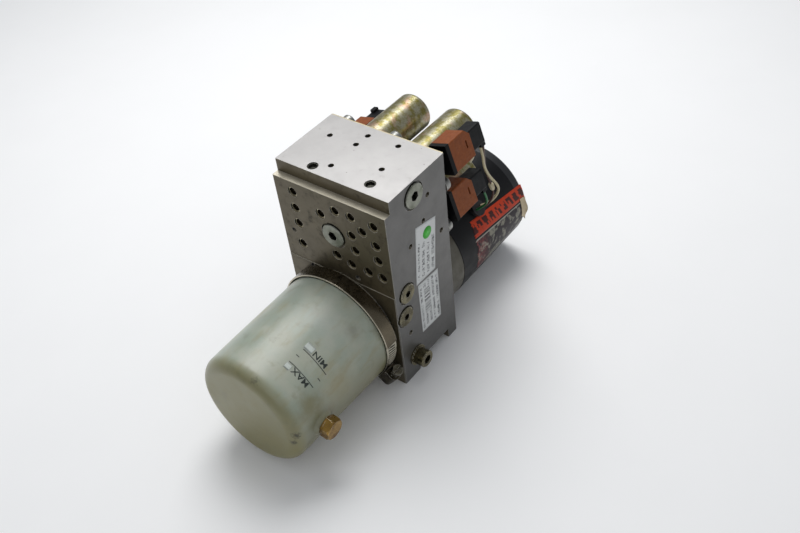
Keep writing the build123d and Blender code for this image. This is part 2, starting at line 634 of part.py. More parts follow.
def rear_cap():
    """The motor's rear cap with the rear bearing's seat."""
    cap = cyl_y(MOTOR_R, HOUSING_Y1, MOTOR_Y1)
    cap = fillet(ends(cap, Axis.Y, True), 3.0)
    cap += cyl_y(22.0, REAR_BEARING_Y - 0.5, HOUSING_Y1 + 1)
    cap -= cyl_y(BEARING_R, REAR_BEARING_Y - 1, REAR_BEARING_Y + BEARING_W)
    for x, z in MOTOR_BOLTS:
        cap -= cyl_y(2.8, HOUSING_Y1 - 1, MOTOR_Y1 + 1, x, z)
        cap -= cyl_y(5.6, MOTOR_BOLT_SEAT, MOTOR_Y1 + 1, x, z)
    return cap


def motor_screws():
    """The two through bolts that hold the motor to the block."""
    screw = socket_screw(4.6, 5.0, 2.5, MOTOR_BOLT_SEAT - REAR_Y + 17.0, 4.0, 2.5)
    return group([Pos(x, MOTOR_BOLT_SEAT, z) * TO_Y * screw for x, z in MOTOR_BOLTS])


def field_magnets():
    """The four ferrite segments bonded inside the yoke."""
    ring = tube_y(MAGNET_R1, MAGNET_R0, CORE_Y0 - 6.0, CORE_Y0 + CORE_L + 6.0)
    wedge_points = [(0, 0), (80, -80 * tan(radians(34))), (80, 80 * tan(radians(34)))]
    wedge = extrude(make_face(Polyline(*wedge_points, close=True)), 140)
    return group([
        ring & (Pos(0, CORE_Y0 - 40.0, SHAFT_Z) * Rot(0, 90.0 * i, 0) * TO_Y * wedge) for i in range(4)
    ])


def armature_slot(margin):
    """One winding slot of the armature, built along +X at the shaft's axis."""
    return box(30.5 + margin, 41.0 - margin, -CORE_L, CORE_L, -2.6 + margin, 2.6 - margin)


def armature_core():
    """The laminated core, slotted for the winding."""
    core = tube_y(CORE_R, SHAFT_R, CORE_Y0, CORE_Y0 + CORE_L)
    mouth = box(40.0, CORE_R + 1, -CORE_L, CORE_L, -1.1, 1.1)
    middle = CORE_Y0 + CORE_L / 2
    for i in range(SLOTS):
        core -= around_shaft(360.0 * i / SLOTS, armature_slot(0) + mouth, middle)
    return core


def armature_windings():
    """The copper in the slots and the two rings of end turns."""
    front = turned_y([(18, CORE_Y0 - 9), (34, CORE_Y0 - 9), (40, CORE_Y0 - 5), (40, CORE_Y0 - 0.2),
                      (18, CORE_Y0 - 0.2)])
    end = CORE_Y0 + CORE_L
    rear = turned_y([(16, end + 0.2), (40, end + 0.2), (40, end + 5), (34, end + 9), (16, end + 9)])
    winding = front + rear
    bar = armature_slot(0.2) & Box(200, CORE_L + 4.0, 200)
    for i in range(SLOTS):
        winding += around_shaft(360.0 * i / SLOTS, bar, CORE_Y0 + CORE_L / 2)
    return winding


def commutator():
    """The commutator, with the slits between its bars."""
    drum = tube_y(COMMUTATOR_R, SHAFT_R, COMMUTATOR_Y, COMMUTATOR_Y + COMMUTATOR_L)
    drum += tube_y(COMMUTATOR_R + 2.0, SHAFT_R, COMMUTATOR_Y - 2.5, COMMUTATOR_Y)
    slit = box(COMMUTATOR_R - 1.2, COMMUTATOR_R + 3, -1, 20, -0.3, 0.3)
    for i in range(2 * SLOTS):
        drum -= around_shaft(180.0 * i / SLOTS, slit, COMMUTATOR_Y - 2.6)
    return drum


def motor_shaft():
    """The armature shaft, from the coupling to the rear bearing."""
    shaft = cyl_y(SHAFT_R, REAR_Y - 38.0, REAR_BEARING_Y + BEARING_W - 0.5)
    return chamfer(ends(shaft, Axis.Y, True), 0.6)


def shaft_coupling():
    """The sleeve that joins the armature shaft to the drive gear's shaft."""
    y0 = CHAMBER_Y0 + 4.0
    y1 = REAR_Y - 8.0
    sleeve = cyl_y(COUPLING_R, y0, y1)
    sleeve -= cyl_y(PUMP_SHAFT_R, y0 - 1, REAR_Y - 40.0)
    return sleeve - cyl_y(SHAFT_R, REAR_Y - 38.0, y1 + 1)


def motor_bearings():
    """The two ball bearings: an outer ring, an inner ring and nine balls each."""
    solids = []
    for y0 in (FRONT_BEARING_Y, REAR_BEARING_Y):
        middle = y0 + BEARING_W / 2
        track = Pos(0, middle, SHAFT_Z) * TO_Y * Torus(12.5, 3.05)
        solids.append(tube_y(BEARING_R - 0.02, 14.3, y0 + 0.05, y0 + BEARING_W - 0.05) - track)
        solids.append(tube_y(10.7, SHAFT_R + 0.06, y0 + 0.05, y0 + BEARING_W - 0.05) - track)
        for i in range(9):
            ball = Pos(12.5, 0, 0) * Sphere(2.9)
            solids.append(around_shaft(40.0 * i, ball, middle))
    return group(solids)


def brush_plate():
    """The plate behind the commutator, with four brush boxes and notches for the through bolts."""
    plate = tube_y(49.6, 25.0, BRUSH_PLATE_Y - 0.8, BRUSH_PLATE_Y + 2.0)
    half_w = BRUSH_W / 2 + 1.3
    half_h = BRUSH_H / 2 + 1.6
    for i in range(4):
        shell = box(22.0, BRUSH_BOX_R1, -half_h, half_h, -half_w, half_w)
        shell -= box(21.0, BRUSH_BOX_R1 - 1.5, -BRUSH_H / 2 - 0.15, BRUSH_H / 2 + 0.15,
                     -BRUSH_W / 2 - 0.15, BRUSH_W / 2 + 0.15)
        plate += around_shaft(90.0 * i, shell, BRUSH_Y)
    for x, z in MOTOR_BOLTS:
        plate -= cyl_y(3.0, BRUSH_PLATE_Y - 1, BRUSH_PLATE_Y + 3, x, z)
    return plate


def brushes():
    """The four carbon brushes on the commutator."""
    brush = box(COMMUTATOR_R + 0.1, BRUSH_R1, -BRUSH_H / 2, BRUSH_H / 2, -BRUSH_W / 2, BRUSH_W / 2)
    brush -= cyl_y(COMMUTATOR_R + 0.1, -20, 20, 0, 0)
    return group([around_shaft(90.0 * i, brush, BRUSH_Y) for i in range(4)])


def brush_springs():
    """The springs that press the brushes inward."""
    length = BRUSH_BOX_R1 - 1.5 - BRUSH_R1 - 0.1
    spring = Pos(BRUSH_R1 + 0.05, 0, 0) * TO_X * coil_spring(3.0, 0.5, length, 5)
    return group([around_shaft(90.0 * i, spring, BRUSH_Y) for i in range(4)])


def lead_grommet():
    """The rubber grommet where the valves' leads enter the motor."""
    angle, y = LEAD_GROMMET
    collar = Pos(MOTOR_R, 0, 0) * TO_X * Cylinder(7.5, 8.0)
    collar = around_shaft(angle, collar, y) - cyl_y(MOTOR_R + 0.05, y - 20, y + 20)
    neck = Pos(MOTOR_R - 1.0, 0, 0) * TO_X * Cylinder(6.0, 5.0)
    return collar + around_shaft(angle, neck, y)


def terminal_insulators():
    """The bushes that keep the terminal studs off the motor's housing, and the leads' grommet."""
    bushes = []
    for z in TERMINAL_Z:
        bush = cyl_x(6.0, -58.0, -50.0, TERMINAL_Y, z) + cyl_x(9.0, -61.0, -58.0, TERMINAL_Y, z)
        bushes.append(bush - cyl_x(TERMINAL_R, -70.0, -40.0, TERMINAL_Y, z))
    return group(bushes + [lead_grommet()])


def terminal_studs():
    """The two terminal studs, each with its nut."""
    studs = []
    for z in TERMINAL_Z:
        stud = cyl_x(TERMINAL_R, -76.0, -48.5, TERMINAL_Y, z)
        nut = Pos(-61.0, TERMINAL_Y, z) * Rot(0, -90, 0) * hex_bar(13.0, 0, 6.5)
        studs.append(stud + nut)
    return group(studs)


# ---- the solenoid valves ------------------------------------------------------------------------
def valve_at(x, z, turn, shape):
    """Places a shape built about a valve's axis, local X towards its terminal box."""
    return Pos(x, 0, z) * Rot(0, turn, 0) * shape


def core_tube():
    """The screwed-in cartridge and the core tube of one valve, in one piece, about its axis."""
    return turned_y([
        (STEM_R + 0.1, REAR_Y - CARTRIDGE_L + 0.1), (CARTRIDGE_R, REAR_Y - CARTRIDGE_L + 0.1),
        (CARTRIDGE_R, REAR_Y), (13.5, REAR_Y), (13.5, REAR_Y + 9.0), (TUBE_R, REAR_Y + 9.0),
        (TUBE_R, TUBE_Y1), (0, TUBE_Y1), (0, TUBE_Y1 - 6.0), (TUBE_BORE_R, TUBE_Y1 - 6.0),
        (TUBE_BORE_R, REAR_Y + 11.0), (STEM_R + 0.1, REAR_Y + 11.0),
    ], 0, 0)


def plunger():
    """The valve's plunger and stem, about its axis, its tip just off the seat."""
    return turned_y([
        (0, SEAT_Y), (1.2, SEAT_Y), (STEM_R, SEAT_Y + 3.0), (STEM_R, PLUNGER_Y0), (PLUNGER_R, PLUNGER_Y0),
        (PLUNGER_R, PLUNGER_Y1), (0, PLUNGER_Y1),
    ], 0, 0)


def return_spring():
    """The spring between the plunger and the end of the core tube, about the valve's axis."""
    start = PLUNGER_Y1 + 0.1
    return Pos(0, start, 0) * TO_Y * coil_spring(4.6, 0.6, TUBE_Y1 - 6.1 - start, 4)


def solenoid_coil():
    """The moulded winding with the black tongue that carries the terminal box, about its axis."""
    coil = tube_y(COIL_R1, COIL_R0, COIL_Y0, COIL_Y1, 0, 0)
    tongue = box(12.0, BOX_OUT, BOX_Y0 - PLATE_T, BOX_Y0 - 0.05, -6.0, 6.0)
    flange = box(BOX_IN, BOX_OUT, BOX_Y0 - PLATE_T, BOX_Y0 - 0.05, BOX_LOW, BOX_HIGH)
    web = box(12.0, 17.0, BOX_Y0 - PLATE_T, COIL_Y0 + 4.0, -6.0, 6.0)
    tongue = (tongue + web) - cyl_y(14.0, 0, COIL_Y0, 0, 0)
    return coil + tongue + flange


def solenoid_can():
    """The plated steel can over the coil, about its axis, with a window for the tongue."""
    can = cyl_y(CAN_R, CAN_Y0, CAN_Y1, 0, 0)
    can = fillet(ends(can, Axis.Y, True), 2.6)
    can -= cyl_y(CAN_R - CAN_WALL, CAN_Y0 - 1, CAN_Y1 - CAN_END, 0, 0)
    return can - box(8.0, 20.0, CAN_Y0 - 1, COIL_Y0 + 5.0, -6.3, 6.3)


def terminal_box():
    """The brown terminal box beside the can, about the valve's axis."""
    y1 = BOX_Y0 + BOX_L
    body = box(BOX_IN, BOX_OUT, BOX_Y0, y1, BOX_LOW, BOX_HIGH)
    edge = body.edges().filter_by(Axis.X).sort_by(Axis.Y)[-2:].sort_by(Axis.Z)[-1:]
    body = chamfer(edge, 6.0)
    body = fillet(body.edges().filter_by(Axis.Y).sort_by(Axis.X)[-2:], 1.2)
    slot = box(BOX_OUT - 2.5, BOX_OUT + 1, y1 - 7.5, y1 - 5.8, BOX_HIGH - 16.0, BOX_HIGH - 9.0)
    return body - slot


def valve_plug():
    """The black connector pushed onto the back of a terminal box, about the valve's axis."""
    y0 = BOX_Y0 + BOX_L + 0.1
    body = box(PLUG_IN, PLUG_OUT, y0, y0 + PLUG_L, PLUG_LOW, PLUG_HIGH)
    body = fillet(body.edges().filter_by(Axis.Y), 1.5)
    boot = Pos(PLUG_OUT - 2.6, y0 + PLUG_L - 3.1, PLUG_LOW - 0.7) * Box(4.6, 6.0, 3.6)
    return body + boot


# ---- labels -------------------------------------------------------------------------------------
def face_label(y, z, width, height, turn):
    """A thin label on the right face, turned about X."""
    return Pos(SIDE_X + 0.12, y, z) * Rot(turn, 0, 0) * Box(0.2, width, height)


def motor_label(angle0, angle1, y0, y1):
    """A thin label bent round the motor's housing between two angles."""
    ring = tube_y(MOTOR_R + 0.25, MOTOR_R + 0.05, y0, y1)
    points = [(0, 0), (90 * cos(radians(angle0)), 90 * sin(radians(angle0))),
              (90 * cos(radians(angle1)), 90 * sin(radians(angle1)))]
    wedge = extrude(make_face(Polyline(*points, close=True)), y1 - y0 + 2)
    return ring & (Pos(0, y1 + 1, SHAFT_Z) * TO_FRONT * wedge)


def labels():
    """The two labels on the block and the two on the motor."""
    return group([
        face_label(FRONT_Y + 45.5, 125.3, 27.3, 56.0, -6.5),
        face_label(FRONT_Y + 44.5, 66.5, 28.0, 55.5, -2.6),
        motor_label(15.5, 32.8, MOTOR_Y1 - 82.0, MOTOR_Y1 - 0.5 - CAP_T),
        motor_label(-20.0, 14.5, MOTOR_Y1 - 84.0, MOTOR_Y1 - 0.5 - CAP_T),
    ])


# ---- the leads ----------------------------------------------------------------------------------
def lead(name):
    """A free lead: straight runs joined by arcs as large as the runs allow."""
    wire_r, route = LEADS[name]
    points = [Vector(*p) for p in route]
    runs = [b - a for a, b in zip(points, points[1:])]
    radii = []
    for before, after in zip(runs, runs[1:]):
        half_turn = radians(before.get_angle(after)) / 2
        radii.append(0.45 * min(before.length, after.length) / tan(half_turn))
    path = FilletPolyline(*route, radius=radii)
    solid = sweep(Plane(origin=path @ 0, z_dir=path % 0) * Circle(wire_r), path=path)
    print(name, "length", round(path.length, 1), "radii", [round(r, 1) for r in radii],
          "volume over section times length", round(solid.volume / (pi * wire_r**2 * path.length), 4))
    return solid


# ---- the assembly -------------------------------------------------------------------------------
def build():
    """Every node of the unit, by name."""
    nodes = {
        "manifold_block": manifold_block(),
        "port_plugs": port_plugs(),
        "gauge_plugs": gauge_plugs(),
        "expander_plugs": expander_plugs(),
        "side_screw": side_screw(),
        "rear_screws": rear_screws(),
        "relief_poppet": relief_poppet(),
        "relief_spring": relief_spring(),
        "check_ball": check_ball(),
        "check_spring": check_spring(),
        "labels": labels(),
        "tank_shell": tank_shell(),
        "tank_seal": tank_seal(),
        "drain_plug": drain_plug(),
        "clamp_band": clamp_band(),
        "clamp_housing": clamp_housing(),
        "clamp_screw": clamp_screw(),
        "pump_body": pump_body(),
        "pump_cover": pump_cover(),
        "pump_screws": pump_screws(),
        "pump_bushes": pump_bushes(),
        "drive_gear": pump_gear(SHAFT_Z, -90.0, PUMP_Y0 - BUSH_L + 0.2, REAR_Y - 40.5),
        "driven_gear": pump_gear(IDLER_Z, 90.0 + 180.0 / GEAR_TEETH, PUMP_Y0 - BUSH_L + 0.2,
                                 SPIGOT_Y + BUSH_L - 0.2),
        "shaft_seal": shaft_seal(),
        "suction_strainer": suction_strainer(),
        "return_tube": return_tube(),
        "end_shield": end_shield(),
        "motor_housing": motor_housing(),
        "rear_cap": rear_cap(),
        "motor_screws": motor_screws(),
        "field_magnets": field_magnets(),
        "motor_shaft": motor_shaft(),
        "armature_core": armature_core(),
        "armature_windings": armature_windings(),
        "commutator": commutator(),
        "shaft_coupling": shaft_coupling(),
        "motor_bearings": motor_bearings(),
        "brush_plate": brush_plate(),
        "brushes": brushes(),
        "brush_springs": brush_springs(),
        "terminal_insulators": terminal_insulators(),
        "terminal_studs": terminal_studs(),
        "core_tubes": group([valve_at(x, z, turn, core_tube()) for _, x, z, turn in VALVES]),
        "solenoid_coils": group([valve_at(x, z, turn, solenoid_coil()) for _, x, z, turn in VALVES]),
        "valve_plugs": group([valve_at(x, z, turn, valve_plug()) for _, x, z, turn in VALVES]),
    }
    for name in LEADS:
        nodes[name] = lead(name)
    for name, x, z, turn in VALVES:
        nodes[f"solenoid_can_{name}"] = valve_at(x, z, turn, solenoid_can())
        nodes[f"plunger_{name}"] = valve_at(x, z, turn, plunger())
        nodes[f"return_spring_{name}"] = valve_at(x, z, turn, return_spring())
        nodes[f"terminal_box_{name}"] = valve_at(x, z, turn, terminal_box())
    return nodes


os.makedirs("parts", exist_ok=True)
for node, shape in build().items():
    export_step(shape, f"parts/{node}.step")
    print(node, len(shape.solids()), round(sum(s.volume for s in shape.solids()), 1))
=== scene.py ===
# %% [markdown]
# # A hydraulic power unit
# A power unit like this one pumps oil for a lift or a small press. A motor turns a gear pump that
# sits in a plastic tank, and a drilled aluminium block between them carries the solenoid valves.
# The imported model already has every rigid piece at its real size. This notebook gives each piece
# its finish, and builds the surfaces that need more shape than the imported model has: the tank, its
# band, the labels and the three leads.
#
# Everything is in metres, in the model's own frame: +X to the right of the block, +Y from the tank
# to the motor, and +Z up. The unit stands on the plane z = 0.

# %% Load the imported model
import json
import math

import bmesh
import bpy
import numpy as np
from mathutils import Matrix, Vector


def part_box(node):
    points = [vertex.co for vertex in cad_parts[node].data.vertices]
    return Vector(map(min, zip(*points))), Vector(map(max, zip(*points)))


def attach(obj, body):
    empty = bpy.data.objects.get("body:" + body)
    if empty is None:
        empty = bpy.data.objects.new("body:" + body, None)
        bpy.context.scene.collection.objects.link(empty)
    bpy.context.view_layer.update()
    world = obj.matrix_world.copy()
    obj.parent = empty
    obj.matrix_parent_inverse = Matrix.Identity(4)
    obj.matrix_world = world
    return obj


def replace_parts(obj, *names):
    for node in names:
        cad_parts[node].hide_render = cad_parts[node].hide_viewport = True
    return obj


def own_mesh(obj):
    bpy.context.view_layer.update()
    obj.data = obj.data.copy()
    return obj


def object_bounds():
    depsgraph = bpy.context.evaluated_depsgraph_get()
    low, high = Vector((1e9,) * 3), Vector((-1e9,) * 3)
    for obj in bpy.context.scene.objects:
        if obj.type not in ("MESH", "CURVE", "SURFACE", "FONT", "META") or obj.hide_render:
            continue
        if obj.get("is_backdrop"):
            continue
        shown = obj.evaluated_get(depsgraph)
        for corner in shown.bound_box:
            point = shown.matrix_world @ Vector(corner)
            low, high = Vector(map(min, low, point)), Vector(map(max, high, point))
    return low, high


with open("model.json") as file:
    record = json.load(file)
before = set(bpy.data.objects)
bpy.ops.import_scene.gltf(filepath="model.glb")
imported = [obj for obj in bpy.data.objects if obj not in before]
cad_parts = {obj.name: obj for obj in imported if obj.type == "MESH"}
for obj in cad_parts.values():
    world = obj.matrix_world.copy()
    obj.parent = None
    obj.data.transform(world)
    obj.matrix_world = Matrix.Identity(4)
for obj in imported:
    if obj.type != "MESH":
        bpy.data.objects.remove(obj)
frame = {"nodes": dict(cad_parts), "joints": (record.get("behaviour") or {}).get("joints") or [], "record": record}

cad_low, cad_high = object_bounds()
nodes = frame["nodes"]
joints = {joint["name"]: joint for joint in frame["joints"]}
print(len(nodes), "nodes, box", [round(v, 4) for v in (*cad_low, *cad_high)])

# %% [markdown]
# ## The camera, the floor and the light
# The camera comes first, because each later choice is judged through it. It stands in front, to the
# right of the tank, and looks down, turned a little about its own line of sight. A direction and a
# roll say this more plainly than three Euler angles, so the three axes are worked out from them.

# %% Camera
CAMERA_AT = Vector((0.41904, -0.40871, 0.63482))
CAMERA_AZIMUTH = math.radians(41.476)
CAMERA_ELEVATION = math.radians(42.540)
CAMERA_ROLL = math.radians(-7.268)
LENS_MM = 41.77


def into_scene(name, data):
    """A new object in the scene, at the origin, that shows the data."""
    made = bpy.data.objects.new(name, data)
    bpy.context.scene.collection.objects.link(made)
    return made


def place_camera():
    """Forward from azimuth and elevation, level right and up beside it, both turned by the roll."""
    level = math.cos(CAMERA_ELEVATION)
    forward = Vector((-math.sin(CAMERA_AZIMUTH) * level, math.cos(CAMERA_AZIMUTH) * level,
                      -math.sin(CAMERA_ELEVATION)))
    level_right = Vector((math.cos(CAMERA_AZIMUTH), math.sin(CAMERA_AZIMUTH), 0))
    level_up = level_right.cross(forward)
    right = level_right * math.cos(CAMERA_ROLL) + level_up * math.sin(CAMERA_ROLL)
    up = right.cross(forward)
    camera = into_scene("camera", bpy.data.cameras.new("camera"))
    camera.data.lens = LENS_MM
    camera.data.clip_start = 0.01
    camera.matrix_world = Matrix.Translation(CAMERA_AT) @ Matrix((right, up, -forward)).transposed().to_4x4()
    bpy.context.scene.camera = camera


place_camera()
print("camera is", round((CAMERA_AT - (cad_low + cad_high) / 2).length, 3), "m from the middle")

# %% [markdown]
# Milled aluminium shows the room in it, so the light is a plain white room: one large soft panel
# above and behind on the left, a weak one in front on the right, and a pale sky. The colours are seen as
# they are with the Standard view, which bends nothing.

# %% Light
PANELS = {
    "overhead_panel": ((-0.35, 0.45, 1.15), 0.8, 11.0),
    "front_panel": ((0.9, -1.1, 0.9), 0.9, 1.7),
}
SKY_STRENGTH = 0.40
SKY_COLOUR = (0.93, 0.96, 1.0, 1.0)


def add_panel(name, at, size, watts):
    """A square area light that faces the middle of the unit."""
    lamp = bpy.data.lights.new(name, "AREA")
    lamp.size = size
    lamp.energy = watts
    panel = into_scene(name, lamp)
    panel.location = at
    aim = (cad_low + cad_high) / 2 - Vector(at)
    panel.rotation_euler = aim.to_track_quat("-Z", "Y").to_euler()


for name, (at, size, watts) in PANELS.items():
    add_panel(name, at, size, watts)
world = bpy.data.worlds.new("sky")
world.use_nodes = True
sky = world.node_tree.nodes["Background"]
sky.inputs["Color"].default_value = SKY_COLOUR
sky.inputs["Strength"].default_value = SKY_STRENGTH
bpy.context.scene.world = world
bpy.context.scene.view_settings.view_transform = "Standard"
print(len(PANELS), "panels")

# %% [markdown]
# ## A kit for finishes
# Each finish is a node tree, and most need the same few moves: a noise of a real size in millimetres,
# a soft threshold, a mix of two colours and a bump of a real depth. A small class keeps those moves
# short, so that each finish below reads as a recipe. All patterns run on Object coordinates, which
# are metres here because every piece sits at the origin.

# %% Helpers for node trees
MM = 0.001


def srgb(red, green, blue):
    """A display colour, 0 to 255, as the linear colour that a shader wants."""
    share = np.array([red, green, blue]) / 255
    linear = np.where(share <= 0.04045, share / 12.92, ((share + 0.055) / 1.055) ** 2.4)
    return (*linear.tolist(), 1.0)


class Finish:
    """A material being made: each method adds nodes and returns the output to plug in next."""

    def __init__(self, name, **sockets):
        self.material = bpy.data.materials.new(name)
        self.material.use_nodes = True
        self.tree = self.material.node_tree
        self.shader = self.tree.nodes["Principled BSDF"]
        for socket, value in sockets.items():
            self.shader.inputs[socket.replace("_", " ")].default_value = value
        self.coordinates = self.tree.nodes.new("ShaderNodeTexCoord").outputs
        self.facing = self.tree.nodes.new("ShaderNodeNewGeometry").outputs["Normal"]

    def node(self, kind, inputs, **settings):
        """One node with its inputs set or linked by place or by name."""
        made = self.tree.nodes.new(kind)
        for name, value in settings.items():
            setattr(made, name, value)
        for key, value in inputs.items():
            if isinstance(value, bpy.types.NodeSocket):
                self.tree.links.new(value, made.inputs[key])
            else:
                made.inputs[key].default_value = value
        return made

    def spread(self, size_mm, stretch=(1, 1, 1), turn=(0, 0, 0), shift=(0, 0, 0)):
        """Coordinates in units of size_mm, longer along an axis by its stretch."""
        scale = [1 / (size_mm * MM * s) for s in stretch]
        return self.node("ShaderNodeMapping", {"Vector": self.coordinates["Object"], "Scale": scale,
                                               "Rotation": turn, "Location": shift}).outputs[0]

    def noise(self, size_mm, detail=3.0, rough=0.55, **where):
        """Soft random patches about size_mm across."""
        return self.node("ShaderNodeTexNoise", {"Vector": self.spread(size_mm, **where), "Scale": 1.0,
                                                "Detail": detail, "Roughness": rough}).outputs["Fac"]

    def cells(self, size_mm, **where):
        """Distance to the nearest of scattered points about size_mm apart."""
        return self.node("ShaderNodeTexVoronoi", {"Vector": self.spread(size_mm, **where),
                                                  "Scale": 1.0}).outputs["Distance"]

    def ease(self, value, low, high, to_low=0.0, to_high=1.0):
        """A smooth step: to_low below low, to_high above high."""
        return self.node("ShaderNodeMapRange", {0: value, 1: low, 2: high, 3: to_low, 4: to_high},
                         interpolation_type="SMOOTHSTEP").outputs[0]

    def near(self, place, inner_mm, outer_mm, wobble=0.4):
        """1 within inner_mm of a place and 0 beyond outer_mm, with a ragged edge."""
        ragged = self.node("ShaderNodeTexNoise", {"Vector": self.spread(outer_mm * 0.5), "Scale": 1.0,
                                                  "Detail": 5.0, "Roughness": 0.65}).outputs["Fac"]
        away = self.node("ShaderNodeVectorMath", {0: self.coordinates["Object"], 1: place},
                         operation="DISTANCE").outputs["Value"]
        swing = self.times(self.sums("SUBTRACT", ragged, 0.5), 4 * wobble * outer_mm * MM)
        return self.ease(self.sums("ADD", away, swing), outer_mm * MM, inner_mm * MM)

    def sums(self, operation, a, b=0.0):
        """One arithmetic step."""
        return self.node("ShaderNodeMath", {0: a, 1: b}, operation=operation).outputs[0]

    def times(self, a, b):
        """The product of two values."""
        return self.sums("MULTIPLY", a, b)

    def mix(self, share, a, b):
        """Colour a at share 0 and b at share 1."""
        return self.node("ShaderNodeMix", {0: share, 6: a, 7: b}, data_type="RGBA").outputs[2]

    def parts_of(self, vector):
        """The X, Y and Z of a vector."""
        return self.node("ShaderNodeSeparateXYZ", {0: vector}).outputs

    def place(self):
        """The X, Y and Z of the point being coloured."""
        return self.parts_of(self.coordinates["Object"])

    def sheet(self):
        """How far across and up a piece's own UV the point is."""
        return self.parts_of(self.coordinates["UV"])[:2]

    def rounded(self, radius_mm):
        """The surface's direction with its sharp edges rounded."""
        return self.node("ShaderNodeBevel", {"Radius": radius_mm * MM}, samples=4).outputs[0]

    def edge_highlight_mask(self, radius_mm):
        """1 along sharp edges and 0 on flat ground: how far rounding turns the surface, used as the mask for
        painted edge highlights.
        """
        dot = self.node("ShaderNodeVectorMath", {0: self.rounded(radius_mm), 1: self.facing},
                        operation="DOT_PRODUCT").outputs["Value"]
        return self.ease(dot, 0.995, 0.9, 0.0, 1.0)

    def bump(self, height, depth_mm, over=None):
        """The surface's direction, tilted by a height of depth_mm."""
        inputs = {"Height": height, "Distance": depth_mm * MM}
        if over is not None:
            inputs["Normal"] = over
        return self.node("ShaderNodeBump", inputs).outputs[0]

    def done(self, colour=None, rough=None, normal=None, metallic=None):
        """Plugs the finished patterns into the shader."""
        plugs = {"Base Color": colour, "Roughness": rough, "Normal": normal, "Metallic": metallic}
        for socket, output in plugs.items():
            if output is not None:
                self.tree.links.new(output, self.shader.inputs[socket])
        return self.material


print("finish kit ready")

# %% [markdown]
# The floor is plain and pale, with a very faint mottle so that it isn't a flat colour. A disc wide
# enough to fill every view is one n-sided face, and it is marked as stage, so that it isn't counted
# as part of the unit.

# %% Floor
FLOOR_R = 6.0
FLOOR_SIDES = 64
FLOOR_DROP = 0.0002


def make_floor():
    """A disc just under the feet."""
    turn = np.linspace(0, 2 * np.pi, FLOOR_SIDES + 1)[:-1]
    points = np.stack([FLOOR_R * np.cos(turn), FLOOR_R * np.sin(turn), 0 * turn - FLOOR_DROP], axis=1)
    mesh = bpy.data.meshes.new("floor")
    mesh.from_pydata(points.tolist(), [], [list(range(FLOOR_SIDES))])
    floor = into_scene("floor", mesh)
    look = Finish("floor_paper", Roughness=0.9)
    mottle = look.noise(90.0)
    mesh.materials.append(look.done(look.mix(mottle, srgb(248, 248, 248), srgb(252, 252, 252))))
    floor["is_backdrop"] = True


make_floor()

# %% [markdown]
# ## Finishes for metal
# The block is one piece of aluminium, coloured by the face's own direction. Its top was milled last and is painted
# light silver, as painted light from above. Its side is painted a duller grey as painted shade and carries faint
# vertical tool marks. Its front was under the tank and is brown with old oil, most of all round the holes, and is
# painted darker still as painted shade. Noise at several sizes breaks each of them up.

# %% Block finish
block_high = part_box("manifold_block")[1]
STEP_H = 0.012
TOP_CUPS_Z = 0.193


def block_finish():
    """Milled aluminium: painted light silver on top, painted grey shade at the side, oil-brown with painted shade
    in front.
    """
    look = Finish("milled_aluminium", Metallic=0.55, IOR=1.6)
    along, up = look.parts_of(look.facing)[1:]
    top = look.ease(up, 0.6, 0.9)
    front = look.ease(along, -0.6, -0.9)
    clouds = look.noise(26.0, detail=5.0)
    grime = look.noise(9.0, detail=6.0, rough=0.7, shift=(3.1, 0.4, 7.7))
    scratches = look.noise(0.5, detail=2.0, stretch=(40, 1, 1), turn=(0, 0, 0.5))
    # The top's light silver and the side's grey are painted light and painted shade on one metal, chosen by
    # facing; the front is brown oil, darkened further as painted shade.
    side = look.mix(clouds, srgb(86, 85, 83), srgb(110, 109, 107))
    silver = look.mix(clouds, srgb(152, 150, 149), srgb(172, 170, 168))
    silver = look.mix(look.ease(grime, 0.62, 0.78), silver, srgb(136, 132, 124))
    front_oil_and_shade = look.mix(clouds, srgb(76, 68, 50), srgb(104, 95, 74))
    front_oil_and_shade = look.mix(look.ease(grime, 0.5, 0.75), front_oil_and_shade, srgb(54, 46, 28))
    colour = look.mix(front, side, front_oil_and_shade)
    colour = look.mix(top, colour, silver)
    spots = look.ease(look.cells(13.0, shift=(0.3, 0.9, 0.1)), 0.055, 0.03)
    colour = look.mix(look.times(spots, 0.6), colour, srgb(60, 52, 40))
    # A pale colour along sharp edges is a painted highlight.
    colour = look.mix(look.times(look.edge_highlight_mask(0.5), 0.55), colour, srgb(215, 213, 205))
    y, z = look.place()[1:]
    ledge_z = block_high.z - STEP_H
    ledge = look.times(top, look.ease(z, ledge_z + 0.0025, ledge_z + 0.0005))
    colour = look.mix(ledge, colour, look.mix(scratches, srgb(186, 178, 158), srgb(212, 205, 188)))
    rear_edge = look.times(top, look.ease(y, block_high.y - 0.0016, block_high.y - 0.0002))
    colour = look.mix(look.times(rear_edge, 0.6), colour, srgb(196, 178, 112))
    rough = look.ease(grime, 0.3, 0.8, 0.34, 0.52)
    marks = look.sums("ADD", look.times(scratches, 0.4), look.noise(0.9, detail=4.0))
    return look.done(colour, rough, look.bump(marks, 0.02, look.rounded(0.35)))


def metal(name, light, dark, rough=(0.25, 0.45), size=3.0, depth=0.01, edge=0.0):
    """Turned or plated metal: two shades in patches, uneven gloss, fine marks, and a painted highlight along
    edges.
    """
    look = Finish(name, Metallic=1.0)
    patches = look.noise(size, detail=4.0)
    colour = look.mix(look.ease(patches, 0.35, 0.65), light, dark)
    # edge is the strength of a painted highlight along sharp edges.
    if edge:
        colour = look.mix(look.times(look.edge_highlight_mask(0.3), edge), colour, srgb(235, 232, 222))
    gloss = look.ease(look.noise(size / 2, shift=(5, 1, 2)), 0.3, 0.7, *rough)
    fine = look.noise(0.25, detail=2.0)
    return look.done(colour, gloss, look.bump(fine, depth, look.rounded(0.25)))


